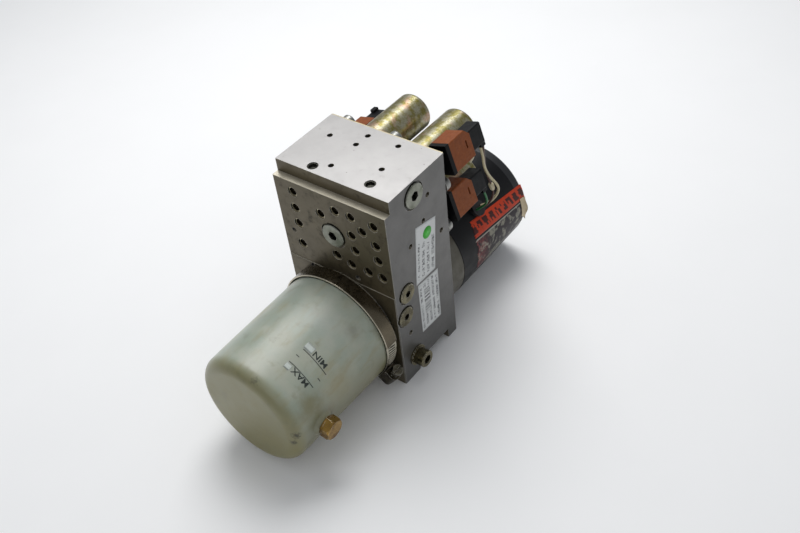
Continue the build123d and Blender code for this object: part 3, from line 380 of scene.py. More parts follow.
def cup_finish():
    """Pressed cups: a painted highlight on the rim at the face, and painted shade inside that goes near black with
    depth; the two on the top are grey.
    """
    look = Finish("pressed_cup", Metallic=1.0, Roughness=0.2)
    y, z = look.place()[1:]
    face_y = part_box("expander_plugs")[0].y
    # Deeper than the face the cup is painted dark as shade in the recess; at the face the rim is painted bright as
    # a highlight.
    inside = look.ease(y, face_y + 0.0004, face_y + 0.0016)
    patches = look.noise(3.0, detail=4.0)
    bright = look.mix(patches, srgb(176, 168, 144), srgb(120, 112, 88))
    colour = look.mix(inside, bright, look.mix(patches, srgb(44, 38, 26), srgb(24, 20, 12)))
    on_top = look.sums("GREATER_THAN", z, TOP_CUPS_Z)
    colour = look.mix(on_top, colour, srgb(62, 62, 56))
    return look.done(colour, None, look.rounded(0.5))


finishes = {"block_aluminium": block_finish()}
# Each edge= below sets the strength of a painted highlight along sharp edges.
finishes.update({
    "plug_steel": metal("greenish_plated_plug", srgb(132, 134, 124), srgb(102, 105, 92), (0.25, 0.4), 12.0,
                        edge=0.7),
    "plug_steel_small": metal("plated_plug", srgb(126, 120, 96), srgb(84, 78, 58), (0.25, 0.4), 8.0,
                              edge=0.8),
    "expander_steel": cup_finish(),
    "zinc_screw": metal("yellow_zinc", srgb(124, 117, 90), srgb(98, 90, 66), (0.2, 0.3), 9.0, edge=0.6),
    "bright_screw": metal("bright_zinc", srgb(160, 160, 156), srgb(132, 132, 128), (0.28, 0.42)),
    "brass": metal("turned_brass", srgb(166, 132, 70), srgb(118, 86, 40), (0.2, 0.32), 12.0, edge=0.5),
    "clamp_zinc": metal("dull_zinc", srgb(112, 108, 94), srgb(70, 65, 53), (0.22, 0.36), 6.0, edge=0.9),
    "housing_steel": metal("pressed_steel", srgb(84, 78, 64), srgb(52, 46, 36), (0.25, 0.4), 6.0, edge=0.8),
    "hard_steel": metal("ground_steel", srgb(160, 162, 165), srgb(140, 142, 146), (0.15, 0.25)),
    "ball_steel": metal("polished_ball", srgb(208, 210, 212), srgb(198, 200, 203), (0.05, 0.1)),
    "spring_steel": metal("spring_wire", srgb(140, 141, 144), srgb(104, 105, 108), (0.25, 0.35)),
    "pump_aluminium": metal("die_cast_pump", srgb(168, 168, 166), srgb(134, 134, 131), (0.35, 0.55), 6.0,
                            0.03),
    "bush_bronze": metal("sintered_bronze", srgb(158, 122, 66), srgb(120, 88, 44), (0.35, 0.5), 1.0, 0.03),
    "gear_steel": metal("hardened_gear", srgb(142, 144, 148), srgb(112, 114, 118), (0.18, 0.3)),
    "bolt_steel": metal("zinc_bolt", srgb(186, 182, 160), srgb(142, 136, 112), (0.22, 0.36)),
    "shaft_steel": metal("ground_shaft", srgb(186, 188, 190), srgb(168, 170, 172), (0.12, 0.22)),
    "copper_bars": metal("commutator_copper", srgb(190, 120, 76), srgb(138, 78, 44), (0.2, 0.35)),
    "coupling_steel": metal("turned_coupling", srgb(140, 140, 141), srgb(108, 108, 110), (0.25, 0.4)),
    "bearing_steel": metal("bearing_rings", srgb(204, 206, 208), srgb(190, 192, 195), (0.08, 0.16)),
    "stud_copper": metal("plated_stud", srgb(190, 166, 104), srgb(142, 118, 66), (0.22, 0.38)),
    "tube_steel": metal("core_tube_steel", srgb(170, 170, 170), srgb(146, 146, 147), (0.2, 0.3)),
})
print(len(finishes), "metal finishes")

# %% [markdown]
# The solenoid cans are zinc plated and then dipped in yellow chromate. The dip dries in clouds, so
# the metal turns from silver through yellow-green to a trace of pink, with a fine crackle. Three
# noises of different sizes pick between those colours, the way the liquid did.

# %% Chromate finish for the cans
def chromate_finish():
    """Silver, yellow-green and pink clouds on bright metal."""
    look = Finish("yellow_chromate", Metallic=1.0)
    clouds = look.noise(7.0, detail=6.0, rough=0.65)
    grain = look.noise(1.3, detail=4.0, rough=0.7, shift=(2, 5, 1))
    blush = look.noise(11.0, detail=3.0, shift=(8, 3, 4))
    colour = look.mix(look.ease(clouds, 0.38, 0.62), srgb(168, 164, 142), srgb(130, 122, 68))
    colour = look.mix(look.times(look.ease(blush, 0.52, 0.68), 0.5), colour, srgb(196, 152, 140))
    colour = look.mix(look.times(look.ease(grain, 0.5, 0.66), 0.55), colour, srgb(104, 98, 66))
    rough = look.ease(grain, 0.3, 0.7, 0.26, 0.48)
    return look.done(colour, rough, look.bump(grain, 0.02, look.rounded(0.4)))


finishes["can_plate"] = chromate_finish()

# %% [markdown]
# ## Finishes for plastic, paint and rubber
# Moulded plastic and paint differ from metal in what light does inside them: their colour is in the
# body and their gloss is white. The same recipe serves them all, with a grain for moulded faces and a
# light dust that settles in patches.

# %% Plastic finishes
def moulded(name, light, dark, rough=(0.4, 0.6), size=5.0, grain=0.4, depth=0.02, dust=None, **sockets):
    """Plastic or paint: two near shades, a fine grain and, where given, dust in patches."""
    look = Finish(name, **sockets)
    colour = look.mix(look.noise(size, detail=4.0), light, dark)
    if dust:
        patches = look.ease(look.noise(size * 2, detail=6.0, rough=0.7, shift=(1, 2, 3)), 0.55, 0.8)
        colour = look.mix(look.times(patches, 0.5), colour, dust)
    gloss = look.ease(look.noise(size, shift=(4, 4, 4)), 0.3, 0.7, *rough)
    return look.done(colour, gloss, look.bump(look.noise(grain, detail=2.0), depth, look.rounded(0.3)))


finishes.update({
    "seal_rubber": moulded("nitrile_rubber", srgb(30, 30, 31), srgb(20, 20, 20), (0.6, 0.8)),
    "strainer_plastic": moulded("strainer_mesh", srgb(216, 214, 200), srgb(196, 192, 172), grain=0.3,
                                depth=0.2),
    "tube_plastic": moulded("return_tube_plastic", srgb(208, 208, 200), srgb(190, 190, 180), (0.3, 0.4)),
    "cast_aluminium": moulded("cast_end_shield", srgb(112, 110, 102), srgb(80, 76, 66), (0.5, 0.7), 8.0, 0.9,
                              0.12, srgb(60, 54, 42), Metallic=0.6),
    "black_paint": moulded("satin_black_paint", srgb(12, 13, 16), srgb(7, 7, 9), (0.35, 0.5), 14.0, 0.8, 0.03,
                           srgb(24, 24, 27), Specular_IOR_Level=0.2),
    "cap_paint": moulded("black_cap_paint", srgb(26, 27, 30), srgb(16, 16, 19), (0.35, 0.5), 10.0, 0.8, 0.03),
    "ferrite": moulded("ferrite", srgb(62, 62, 66), srgb(48, 48, 51), (0.5, 0.7), 2.0),
    "plate_plastic": moulded("phenolic", srgb(112, 78, 46), srgb(88, 58, 32), (0.4, 0.5)),
    "carbon": moulded("carbon_brush", srgb(52, 52, 54), srgb(38, 38, 40), (0.45, 0.6), 1.0),
    "insulator": moulded("black_bush", srgb(30, 30, 32), srgb(22, 22, 23), (0.4, 0.6)),
    "coil_plastic": moulded("coil_moulding", srgb(10, 10, 11), srgb(6, 6, 7), (0.4, 0.55),
                            Specular_IOR_Level=0.15),
    "connector_plastic": moulded("connector_black", srgb(14, 15, 18), srgb(7, 8, 10), (0.35, 0.55), 6.0, 0.6,
                                 0.04, srgb(30, 32, 36), Specular_IOR_Level=0.2),
    "box_plastic": moulded("terracotta_plastic", srgb(148, 80, 38), srgb(108, 55, 25), (0.38, 0.55), 3.0, 0.5,
                           0.04, srgb(176, 120, 80), Specular_IOR_Level=0.2),
})
print(len(finishes), "finishes so far")

# %% [markdown]
# The armature is a stack of thin steel sheets with copper wound through it. Fine waves along the
# shaft show the sheets, and waves round it show the wire, so one short recipe makes both.

# %% Armature finishes
def ribbed(name, light, dark, pitch_mm, axis, depth):
    """Metal with even ridges pitch_mm apart along an axis."""
    look = Finish(name, Metallic=1.0, Roughness=0.35)
    place = look.place()[axis]
    wave = look.sums("SINE", look.times(place, 2 * math.pi / (pitch_mm * MM)))
    ridge = look.ease(wave, -0.9, 0.9)
    colour = look.mix(look.times(ridge, look.noise(4.0)), dark, light)
    return look.done(colour, None, look.bump(ridge, depth))


finishes["laminations"] = ribbed("laminated_core", srgb(140, 140, 146), srgb(92, 92, 98), 0.65, 1, 0.08)
finishes["copper_winding"] = ribbed("enamelled_wire", srgb(190, 104, 56), srgb(112, 50, 24), 0.9, 0, 0.2)
for node in frame["record"]["subparts"]:
    name, slot = node["node"], node["material_slot"]
    if slot in finishes:
        nodes[name].data.materials.clear()
        nodes[name].data.materials.append(finishes[slot])
dressed = {s["material_slot"] for s in frame["record"]["subparts"]} & set(finishes)
print("slots dressed:", len(dressed))

# %% [markdown]
# ## Surfaces on a grid
# The tank, the band and the labels are made as surfaces: a grid of points worked out from two
# numbers, and a quad between each four neighbours. One function turns any such grid into a mesh, and
# it can join the last row or column to the first. Merging what coincides closes poles and seams, and
# recalculating the normals then turns every face outwards.

# %% From a grid of points to a mesh
AXIS_Z = joints["motor_spin"]["pos_m"][2]


def quads_of(rows, columns, join_rows=False, join_columns=False):
    """The corners of every quad of a grid, as indices into its flattened points."""
    index = np.arange(rows * columns).reshape(rows, columns)
    if join_rows:
        index = np.vstack([index, index[:1]])
    if join_columns:
        index = np.hstack([index, index[:, :1]])
    corners = (index[:-1, :-1], index[:-1, 1:], index[1:, 1:], index[1:, :-1])
    return np.stack(corners, axis=-1).reshape(-1, 4)


def new_piece(name, points, faces, finish, uv=None, smooth=True):
    """A closed object from points and faces, dressed, on the unit. uv is one pair per point."""
    mesh = bpy.data.meshes.new(name)
    corners = faces.tolist() if isinstance(faces, np.ndarray) else faces
    mesh.from_pydata(points.reshape(-1, 3).tolist(), [], corners)
    if uv is not None:
        layer = mesh.uv_layers.new(name="surface")
        corner = np.empty(len(mesh.loops), dtype=np.int32)
        mesh.loops.foreach_get("vertex_index", corner)
        layer.data.foreach_set("uv", uv.reshape(-1, 2)[corner].ravel())
    work = bmesh.new()
    work.from_mesh(mesh)
    bmesh.ops.remove_doubles(work, verts=work.verts, dist=1e-7)
    bmesh.ops.dissolve_degenerate(work, edges=work.edges, dist=1e-8)
    bmesh.ops.recalc_face_normals(work, faces=work.faces)
    work.to_mesh(mesh)
    work.free()
    mesh.polygons.foreach_set("use_smooth", [smooth] * len(mesh.polygons))
    piece = into_scene(name, mesh)
    mesh.materials.append(finish)
    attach(piece, "unit")
    print(name, len(mesh.vertices), "points")
    return piece


def round_shaft(radius, y, angle):
    """Points at a radius from the motor's axis, a place along it and an angle up from +X in degrees."""
    turn = np.radians(angle)
    return np.stack(np.broadcast_arrays(radius * np.cos(turn), y, AXIS_Z + radius * np.sin(turn)), axis=-1)


# %% [markdown]
# ## The tank
# The tank is a blow-moulded cup of milky plastic, open towards the block, with a rounded closed end
# and a raised boss for the drain plug. It could be turned from a profile with Spin, but the boss
# isn't round about the same axis. So the outside is a height: a radius for each angle and place, with
# the boss added where it stands. The grid is finer there.

# %% Tank surface
tank_low, tank_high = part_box("tank_shell")
MOUTH_R = 0.0548
END_R = 0.053
EDGE_R = 0.0107
TANK_WALL = 0.0025
BOSS_R = 0.0095
BOSS_ANGLE = -7.0
plug_low, plug_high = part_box("drain_plug")
BOSS_Y = (plug_low.y + plug_high.y) / 2
BOSS_TOP = 0.0562
BOSS_FOOT = 0.0022
BOSS_SLOPE = 0.0034
BOSS_SPAN_Y = 0.014
BOSS_SPAN_ANGLE = 14
WAVE_DEPTH = 0.00012
WAVE_LENGTH = 0.021
EVEN_MIDDLE_R = 0.03


def cup_profile(end_y, mouth_y, end_r, mouth_r, edge_r):
    """Radius and place from the mouth down the wall, round the edge and in to the middle."""
    wall = np.linspace(0, 1, 60)
    near = np.abs(mouth_y + (end_y + edge_r - mouth_y) * np.linspace(0, 1, 400) - BOSS_Y) < BOSS_SPAN_Y
    fine = np.linspace(0, 1, 400)[near]
    wall = np.unique(np.concatenate([wall, fine]))
    wall_y = mouth_y + (end_y + edge_r - mouth_y) * wall
    wall_r = mouth_r + (end_r - mouth_r) * wall
    bend = np.linspace(0, np.pi / 2, 20)[1:]
    bend_y = end_y + edge_r - edge_r * np.sin(bend)
    bend_r = end_r - edge_r + edge_r * np.cos(bend)
    middle_r = np.linspace(end_r - edge_r, 0, 16)[1:]
    radius = np.concatenate([wall_r, bend_r, middle_r])
    return radius, np.concatenate([wall_y, bend_y, np.full(len(middle_r), end_y)])


def raise_boss(points):
    """Lifts the points near the boss's axis along it, to a flat top with a rounded shoulder and foot."""
    turn = math.radians(BOSS_ANGLE)
    outward = np.array([math.cos(turn), 0, math.sin(turn)])
    sideways = np.array([-math.sin(turn), 0, math.cos(turn)])
    from_axis = points - np.array([0, BOSS_Y, AXIS_Z])
    away = np.hypot(from_axis @ sideways, from_axis[..., 1])
    height = from_axis @ outward
    share = np.clip((BOSS_R + BOSS_FOOT - away) / BOSS_SLOPE, 0, 1)
    share = share * share * (3 - 2 * share) * (height > 0)
    return points + (share * (BOSS_TOP - height))[..., None] * outward


def unevenness(y, angle):
    """A tenth of a millimetre of soft waves: sin(3 angle + 1) times sin(y / 21 mm)."""
    return WAVE_DEPTH * np.sin(np.radians(3 * angle) + 1.0) * np.sin(y / WAVE_LENGTH)


def tank_points(radius, y, angles):
    """The grid of a surface of revolution, with the wall a little uneven."""
    rows = radius[:, None] + unevenness(y[:, None], angles) * (radius[:, None] > EVEN_MIDDLE_R)
    return round_shaft(rows, y[:, None], angles)


boss_end = BOSS_ANGLE + BOSS_SPAN_ANGLE
boss_angles = np.arange(BOSS_ANGLE - BOSS_SPAN_ANGLE, boss_end, 0.5)
angles = np.concatenate([boss_angles, np.arange(boss_end, BOSS_ANGLE + 360 - BOSS_SPAN_ANGLE, 2.0)])
outer_r, outer_y = cup_profile(tank_low.y, tank_high.y, END_R, MOUTH_R, EDGE_R)
inner_r, inner_y = cup_profile(tank_low.y + TANK_WALL, tank_high.y, END_R - TANK_WALL, MOUTH_R - TANK_WALL,
                               EDGE_R - TANK_WALL)
outer = raise_boss(tank_points(outer_r, outer_y, angles))
inner = tank_points(inner_r, inner_y, angles)
grid = np.concatenate([outer[::-1], inner])
print("tank grid", grid.shape)

# %% [markdown]
# Milky plastic glows because light scatters inside it. Subsurface scattering of a few millimetres gives that, with
# a soft gloss on top. Years of oil have left faint yellow-brown streaks and a few dark scuffs. It is also painted
# darker and olive-yellow towards the bottom and on the closed end, as painted shade with an oil tint.

# %% Tank finish
# Where a mark is (angle, radius, place along the axis), its reach in mm, its strength and colour. Most are oil
# stains. The first, at 42 degrees, is painted shade of the pump inside, with oil; the four at -0.020 and -0.022
# are painted shade next to the band; the last, pale one is a painted highlight on the lit upper side.
TANK_STAINS_AND_PAINTED_LIGHT = [
    (42, 0.054, -0.048, 11, 0.4, srgb(104, 102, 86)), (20, 0.054, -0.116, 20, 0.75, srgb(116, 108, 64)),
    (5, 0.050, -0.1365, 5, 0.9, srgb(50, 44, 28)), (-4, 0.047, -0.1385, 4, 0.95, srgb(34, 30, 20)),
    (14, 0.052, -0.085, 24, 0.4, srgb(146, 134, 88)), (-4, 0.054, -0.109, 18, 0.6, srgb(112, 98, 54)),
    (71, 0.052, -0.137, 5, 0.6, srgb(84, 82, 66)), (30, 0.054, -0.022, 14, 0.5, srgb(108, 100, 76)),
    (60, 0.054, -0.020, 11, 0.45, srgb(112, 106, 84)), (88, 0.054, -0.022, 11, 0.45, srgb(112, 108, 90)),
    (115, 0.054, -0.020, 12, 0.5, srgb(112, 108, 90)), (60, 0.054, -0.060, 26, 0.3, srgb(186, 190, 186)),
]


def tank_finish():
    """Milky plastic with stains, painted shade towards the bottom and the closed end, and listed stains, shade and
    a highlight placed by distance.
    """
    look = Finish("milky_plastic", Subsurface_Weight=0.35, Subsurface_Radius=(0.6, 0.7, 0.5),
                  Subsurface_Scale=0.006, Coat_Weight=0.25, Coat_Roughness=0.3)
    y, z = look.place()[1:]
    wash = look.noise(38.0, detail=4.0, rough=0.6)
    streaks = look.noise(9.0, detail=5.0, rough=0.6, stretch=(1, 3.5, 1), turn=(0, 0, 0.35))
    specks = look.noise(2.2, detail=5.0, rough=0.75)
    colour = look.mix(look.ease(wash, 0.35, 0.65), srgb(152, 162, 148), srgb(170, 173, 158))
    streaky = look.times(look.ease(streaks, 0.46, 0.72), 0.55)
    colour = look.mix(streaky, colour, srgb(150, 145, 114))
    # Darker and olive-yellow towards the bottom: painted shade, with an oil tint.
    low = look.ease(z, AXIS_Z + 0.038, AXIS_Z - 0.030)
    colour = look.mix(look.times(low, 0.85), colour, srgb(104, 97, 58))
    # Darker and olive on the closed end: painted shade, with an oil tint.
    closed_end_shade = look.ease(y, tank_low.y + 0.014, tank_low.y + 0.001)
    colour = look.mix(look.times(closed_end_shade, 0.85), colour, srgb(126, 120, 76))
    blots = look.noise(16.0, detail=5.0, shift=(2.3, 1.1, 0.2))
    blot = look.times(look.ease(blots, 0.56, 0.72), 0.4)
    colour = look.mix(blot, colour, srgb(112, 110, 82))
    dirt = look.ease(specks, 0.64, 0.74)
    colour = look.mix(look.times(dirt, 0.35), colour, srgb(96, 88, 62))
    # Each listed mark is mixed in: stains, painted shade and the painted highlight alike.
    for angle, radius, along_y, reach_mm, strength, mark_colour in TANK_STAINS_AND_PAINTED_LIGHT:
        place = round_shaft(radius, along_y, angle).tolist()
        wobble = 0.7 if reach_mm < 6 else 0.2
        share = look.times(look.near(place, 0, reach_mm, wobble), strength)
        colour = look.mix(share, colour, mark_colour)
    rough = look.ease(wash, 0.3, 0.7, 0.32, 0.46)
    return look.done(colour, rough, look.bump(look.noise(3.0, detail=3.0), 0.05))


tank = new_piece("tank_shell_milky", grid, quads_of(len(grid), len(angles), join_columns=True),
                 tank_finish())
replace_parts(tank, "tank_shell")

# %% [markdown]
# ## The leads
# Three free leads run from the valves' plugs down to a grommet in the motor. Each is a NURBS curve of
# order 3 whose control points are the lead's route, so it bends as smoothly as soft wire does, and a
# round bevel gives it its thickness.

# %% Leads
LEADS = {
    "cream_lead": (0.00125, 0.0925, srgb(196, 186, 152), srgb(172, 160, 124), [
        (0.0575, 0.1207, 0.1746), (0.0592, 0.1215, 0.1654), (0.0565, 0.1260, 0.1510),
        (0.0573, 0.1320, 0.1365), (0.0598, 0.1385, 0.1258), (0.0606, 0.1425, 0.1178),
        (0.0581, 0.1435, 0.1087), (0.0537, 0.1420, 0.1016), (0.0496, 0.1390, 0.0974),
        (0.0445, 0.1364, 0.0947),
    ]),
    "brown_lead": (0.0011, 0.0886, srgb(84, 50, 36), srgb(58, 32, 24), [
        (0.0575, 0.1245, 0.1746), (0.0563, 0.1276, 0.1563), (0.0538, 0.1315, 0.1420),
        (0.0544, 0.1364, 0.1281), (0.0561, 0.1395, 0.1180), (0.0562, 0.1398, 0.1097),
        (0.0537, 0.1385, 0.1022), (0.0503, 0.1358, 0.0970), (0.0445, 0.1330, 0.0947),
    ]),
    "green_lead": (0.0011, 0.0372, srgb(44, 118, 66), srgb(28, 84, 46), [
        (0.0575, 0.1226, 0.1261), (0.0593, 0.1260, 0.1151), (0.0546, 0.1290, 0.1048),
        (0.0445, 0.1296, 0.0947),
    ]),
}


def make_lead(name, radius, length, light, dark, route):
    """A NURBS curve of order 3 through the route's control points, with a round bevel."""
    curve = bpy.data.curves.new(name + "_wire", "CURVE")
    curve.dimensions = "3D"
    curve.bevel_depth = radius
    curve.bevel_resolution = 4
    curve.resolution_u = 16
    curve.use_fill_caps = True
    spline = curve.splines.new("NURBS")
    spline.points.add(len(route) - 1)
    for point, place in zip(spline.points, route):
        point.co = (*place, 1.0)
    spline.order_u = 3
    spline.use_endpoint_u = True
    curve.materials.append(moulded(name + "_insulation", light, dark, (0.35, 0.5), 3.0, 0.5, 0.01))
    wire = into_scene(name + "_wire", curve)
    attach(wire, "unit")
    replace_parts(wire, name)


for name, facts in LEADS.items():
    make_lead(name, *facts)
print(len(LEADS), "leads")

# %% [markdown]
# The tank is marked with two printed levels. Letters start as flat text, which becomes a mesh and is
# then wrapped round the tank: its x turns into an angle and its y into a place along the axis. The
# lines are thin patches on the same wall. All of it stands a little under a tenth of a
# millimetre proud, so that it never flickers against the plastic.

# %% Printed levels
PRINT_LIFT = 0.00008
PRINT_GAP = 0.00001
MOUTH_Y = tank_high.y


def tank_radius(y, angle):
    """The tapered outside wall's radius, with its unevenness."""
    share = (MOUTH_Y - y) / (MOUTH_Y - (tank_low.y + EDGE_R))
    return MOUTH_R + (END_R - MOUTH_R) * share + unevenness(y, angle)


def layers(sheet, lift):
    """Closes a sheet of grid points into a thin plate: a copy lifted by a vector field stands on it."""
    return np.concatenate([sheet, (sheet + lift)[:, ::-1]], axis=1)


def outward_at(angle, y):
    """The direction away from the axis, for arrays of angles and places."""
    turn = np.radians(angle + 0 * y)
    return np.stack([np.cos(turn), 0 * turn, np.sin(turn)], axis=-1)


def tank_patch(name, angle_from, angle_to, y_from, y_to, finish):
    """A thin printed patch on the tank between two angles and two places along it."""
    y, angle = np.meshgrid(np.linspace(y_from, y_to, 5), np.linspace(angle_from, angle_to, 40), indexing="ij")
    sheet = round_shaft(tank_radius(y, angle) + PRINT_GAP, y, angle)
    both = layers(sheet, outward_at(angle, y) * PRINT_LIFT)
    return new_piece(name, both, closed_plate(*both.shape[:2]), finish)


def closed_plate(rows, columns):
    """Quads of a tube of points, its columns joined in a ring, with both ends closed by quads."""
    sides = quads_of(rows, columns, join_columns=True)
    half = columns // 2
    first = np.arange(half - 1)
    ends = [np.stack([r * columns + first, r * columns + first + 1, r * columns + columns - 2 - first,
                      r * columns + columns - 1 - first], axis=1) for r in (0, rows - 1)]
    return np.concatenate([sides, *ends])


def tank_text(name, body, angle_from, angle_to, y_foot, y_top, finish):
    """Flat text scaled to a box, then x becomes the angle and y the place along the tank."""
    font = bpy.data.curves.new(name + "_font", "FONT")
    font.body = body
    font.extrude = 0.02
    font.offset = 0.013
    flat = into_scene(name + "_flat", font)
    bpy.context.view_layer.update()
    mesh = bpy.data.meshes.new_from_object(flat.evaluated_get(bpy.context.evaluated_depsgraph_get()))
    bpy.data.objects.remove(flat)
    points = np.empty(len(mesh.vertices) * 3)
    mesh.vertices.foreach_get("co", points)
    points = points.reshape(-1, 3)
    share = (points - points.min(axis=0)) / np.ptp(points, axis=0)
    angle = angle_from + (angle_to - angle_from) * share[:, 0]
    y = y_foot + (y_top - y_foot) * share[:, 1]
    wrapped = round_shaft(tank_radius(y, angle) + PRINT_GAP + PRINT_LIFT * share[:, 2], y, angle)
    faces = [list(face.vertices) for face in mesh.polygons]
    bpy.data.meshes.remove(mesh)
    return new_piece(name, wrapped, faces, finish, smooth=False)


def ink_finish():
    """Worn black ink: a grey-green film with thin places."""
    look = Finish("level_ink", Roughness=0.5)
    worn = look.ease(look.noise(1.2, detail=5.0, rough=0.7), 0.5, 0.75)
    return look.done(look.mix(worn, srgb(34, 40, 36), srgb(92, 100, 92)))


ink = ink_finish()
tank_text("level_text_full", "MAX", 36.5, 55.5, -0.1062, -0.1112, ink)
tank_text("level_text_low", "MIN", 36.5, 52.0, -0.0836, -0.0886, ink)
tank_patch("level_line_full", 31.6, 62.1, -0.1058, -0.1052, ink)
tank_patch("level_line_low", 31.4, 61.0, -0.0903, -0.0897, ink)
tank_patch("level_tick_left", 58.4, 61.8, -0.0977, -0.0971, ink)
tank_patch("level_tick_right", 31.1, 34.6, -0.0977, -0.0971, ink)
film = moulded("print_film", srgb(206, 212, 206), srgb(184, 192, 184), (0.2, 0.35))
tank_patch("level_film_low", 53.5, 62.0, -0.0888, -0.0822, film)
tank_patch("level_film_full", 57.0, 62.5, -0.1122, -0.1066, film)

# %% [markdown]
# ## The clamp band
# A worm-drive clamp holds the tank on its spigot: a steel strip once round, with its free end lapped
# over the top and slanted grooves where the worm bites. The strip is a ring whose outside is a height
# field. The lap adds a second thickness, and the grooves take 0.6 mm off, along lines that lean with
# the worm's thread.

# %% Clamp band
band_low, band_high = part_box("clamp_band")
BAND_R = 0.05495
BAND_T = 0.001
LAP_FROM = 5.0
LAP_TO = 185.0
GROOVE_PITCH = 0.0029
GROOVES_FROM, GROOVES_TO = -36.0, 3.0
GROOVE_DEPTH = 0.0006
GROOVE_MARGIN = 0.0022
GROOVE_LEAN = 0.28
CORNER_DROP = 0.00025
CORNER_REACH = 0.0005


def band_outside(y, angle):
    """Radius outside: one thickness, a second over the lap, less slanted grooves below the lap's end."""
    lapped = (angle > LAP_FROM) & (angle < LAP_TO)
    along = BAND_R * np.radians(angle) + GROOVE_LEAN * (y - band_low.y)
    groove = np.clip(np.sin(2 * np.pi * along / GROOVE_PITCH) * 1.6, -1, 1) * 0.5 + 0.5
    from_edge = np.minimum(y - band_low.y, band_high.y - y)
    cut = (angle > GROOVES_FROM) & (angle < GROOVES_TO) & (from_edge > GROOVE_MARGIN)
    return BAND_R + BAND_T + BAND_T * lapped - GROOVE_DEPTH * groove * cut


def band_finish():
    """Brownish steel with a painted highlight along both edges. Below the lap it is bare, and the grooves are
    painted dark as shade.
    """
    look = Finish("worn_band_steel", Metallic=1.0)
    x, y, z = look.place()[:3]
    from_axis = look.sums("SUBTRACT", z, AXIS_Z)
    squares = look.sums("ADD", look.times(x, x), look.times(from_axis, from_axis))
    radius = look.sums("SQRT", squares)
    steel = look.mix(look.noise(22.0, detail=4.0), srgb(112, 104, 88), srgb(90, 82, 68))
    # Within a millimetre of either edge the strip is painted bright as a highlight.
    edge = look.sums("MINIMUM", look.sums("SUBTRACT", y, band_low.y), look.sums("SUBTRACT", band_high.y, y))
    steel = look.mix(look.ease(edge, 0.0008, 0.0002, 0.0, 0.8), steel, srgb(206, 198, 180))
    bare = look.ease(radius, BAND_R + BAND_T + 0.0004, BAND_R + BAND_T + 0.0001)
    steel = look.mix(bare, steel, srgb(196, 190, 172))
    # The grooves are painted near black as shade in the recess.
    groove = look.ease(radius, BAND_R + BAND_T - 0.0001, BAND_R + BAND_T - 0.0004)
    colour = look.mix(groove, steel, srgb(24, 20, 15))
    return look.done(colour, look.ease(look.noise(3.0), 0.3, 0.7, 0.22, 0.36))


def make_band():
    """A ring of rectangular section with rounded corners, its outside from the height field."""
    lap_ends = [LAP_FROM + 0.01, LAP_TO + 0.01]
    angle = np.unique(np.concatenate([np.arange(-40, 8, 0.2), np.arange(8, 320, 1.0), lap_ends]))
    y = band_low.y + (band_high.y - band_low.y) * np.linspace(0, 1, 33)
    turn, place = np.meshgrid(angle, y, indexing="ij")
    curl = np.minimum(place - band_low.y, band_high.y - place)
    soften = CORNER_DROP * np.clip(1 - curl / CORNER_REACH, 0, 1) ** 2
    outside = round_shaft(band_outside(place, turn) - soften, place, turn)
    inside = round_shaft(BAND_R + 0 * turn, place, turn)
    ring = np.concatenate([outside, inside[:, ::-1]], axis=1)
    return new_piece("clamp_band_worn", ring, quads_of(*ring.shape[:2], join_rows=True, join_columns=True),
                     band_finish())


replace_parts(make_band(), "clamp_band")

# %% [markdown]
# ## Labels and stickers
# Two white labels are stuck on the block, and a red strip and a silver label on the motor. Each is a
# thin plate over a bilinear patch: four corners, blended, give the sheet, and on the motor a sum
# of sines makes one end ragged. The print is generic. It comes from the patch's own UV, cut into cells that
# white noise fills or leaves empty, so that it reads as small print without saying anything.

# %% Label helpers
STICKER_GAP = 0.00003


def patch(corners, rows, columns):
    """Bilinear blend of corners (top left, top right, bottom right, bottom left), and its UV."""
    down, across = np.meshgrid(np.linspace(0, 1, rows), np.linspace(0, 1, columns), indexing="ij")
    top_left, top_right, bottom_right, bottom_left = np.array(corners)
    weights = ((1 - across) * (1 - down), across * (1 - down), across * down, (1 - across) * down)
    blend = sum(w[..., None] * c for w, c in zip(weights, (top_left, top_right, bottom_right, bottom_left)))
    return blend, np.stack([across, 1 - down], axis=-1)


def sticker(name, sheet, uv, out, finish, thick=0.00012):
    """A closed thin plate on a sheet, lifted along out."""
    both = layers(sheet + out * STICKER_GAP, out * thick)
    return new_piece(name, both, closed_plate(*both.shape[:2]), finish, uv=layers(uv, 0 * uv))


def cells_of(look, across, along, seed=0.0):
    """White noise in a grid of cells over the UV, and the place within each cell."""
    place = look.node("ShaderNodeVectorMath", {0: look.coordinates["UV"], 1: (across, along, 1.0)},
                      operation="MULTIPLY").outputs[0]
    cell = look.node("ShaderNodeVectorMath", {0: place}, operation="FLOOR").outputs[0]
    seeded = look.node("ShaderNodeVectorMath", {0: cell, 1: (seed, seed, seed)}, operation="ADD").outputs[0]
    inside = look.node("ShaderNodeVectorMath", {0: place}, operation="FRACTION").outputs[0]
    value = look.node("ShaderNodeTexWhiteNoise", {"Vector": seeded}).outputs["Value"]
    return value, look.parts_of(inside)


def within(look, value, low, high):
    """1 where a value is between low and high."""
    above = look.sums("GREATER_THAN", value, low)
    return look.times(above, look.sums("LESS_THAN", value, high))


def small_print(look, columns, letters, seed):
    """Columns of small marks that run up the label: letter cells, each with random strokes."""
    letter, place = cells_of(look, columns, letters, seed)
    stroke, _ = cells_of(look, columns * 5, letters * 3, seed + 7)
    inked = look.sums("GREATER_THAN", stroke, 0.42)
    in_column = within(look, place[0], 0.22, 0.74)
    in_letter = look.sums("GREATER_THAN", letter, 0.2)
    return look.times(look.times(inked, in_column), in_letter)


# %% [markdown]
# The upper label carries three columns of small marks and a green dot, the lower one a block of bars
# between two columns. Where the print ends is stated in shares of the label's width and height.

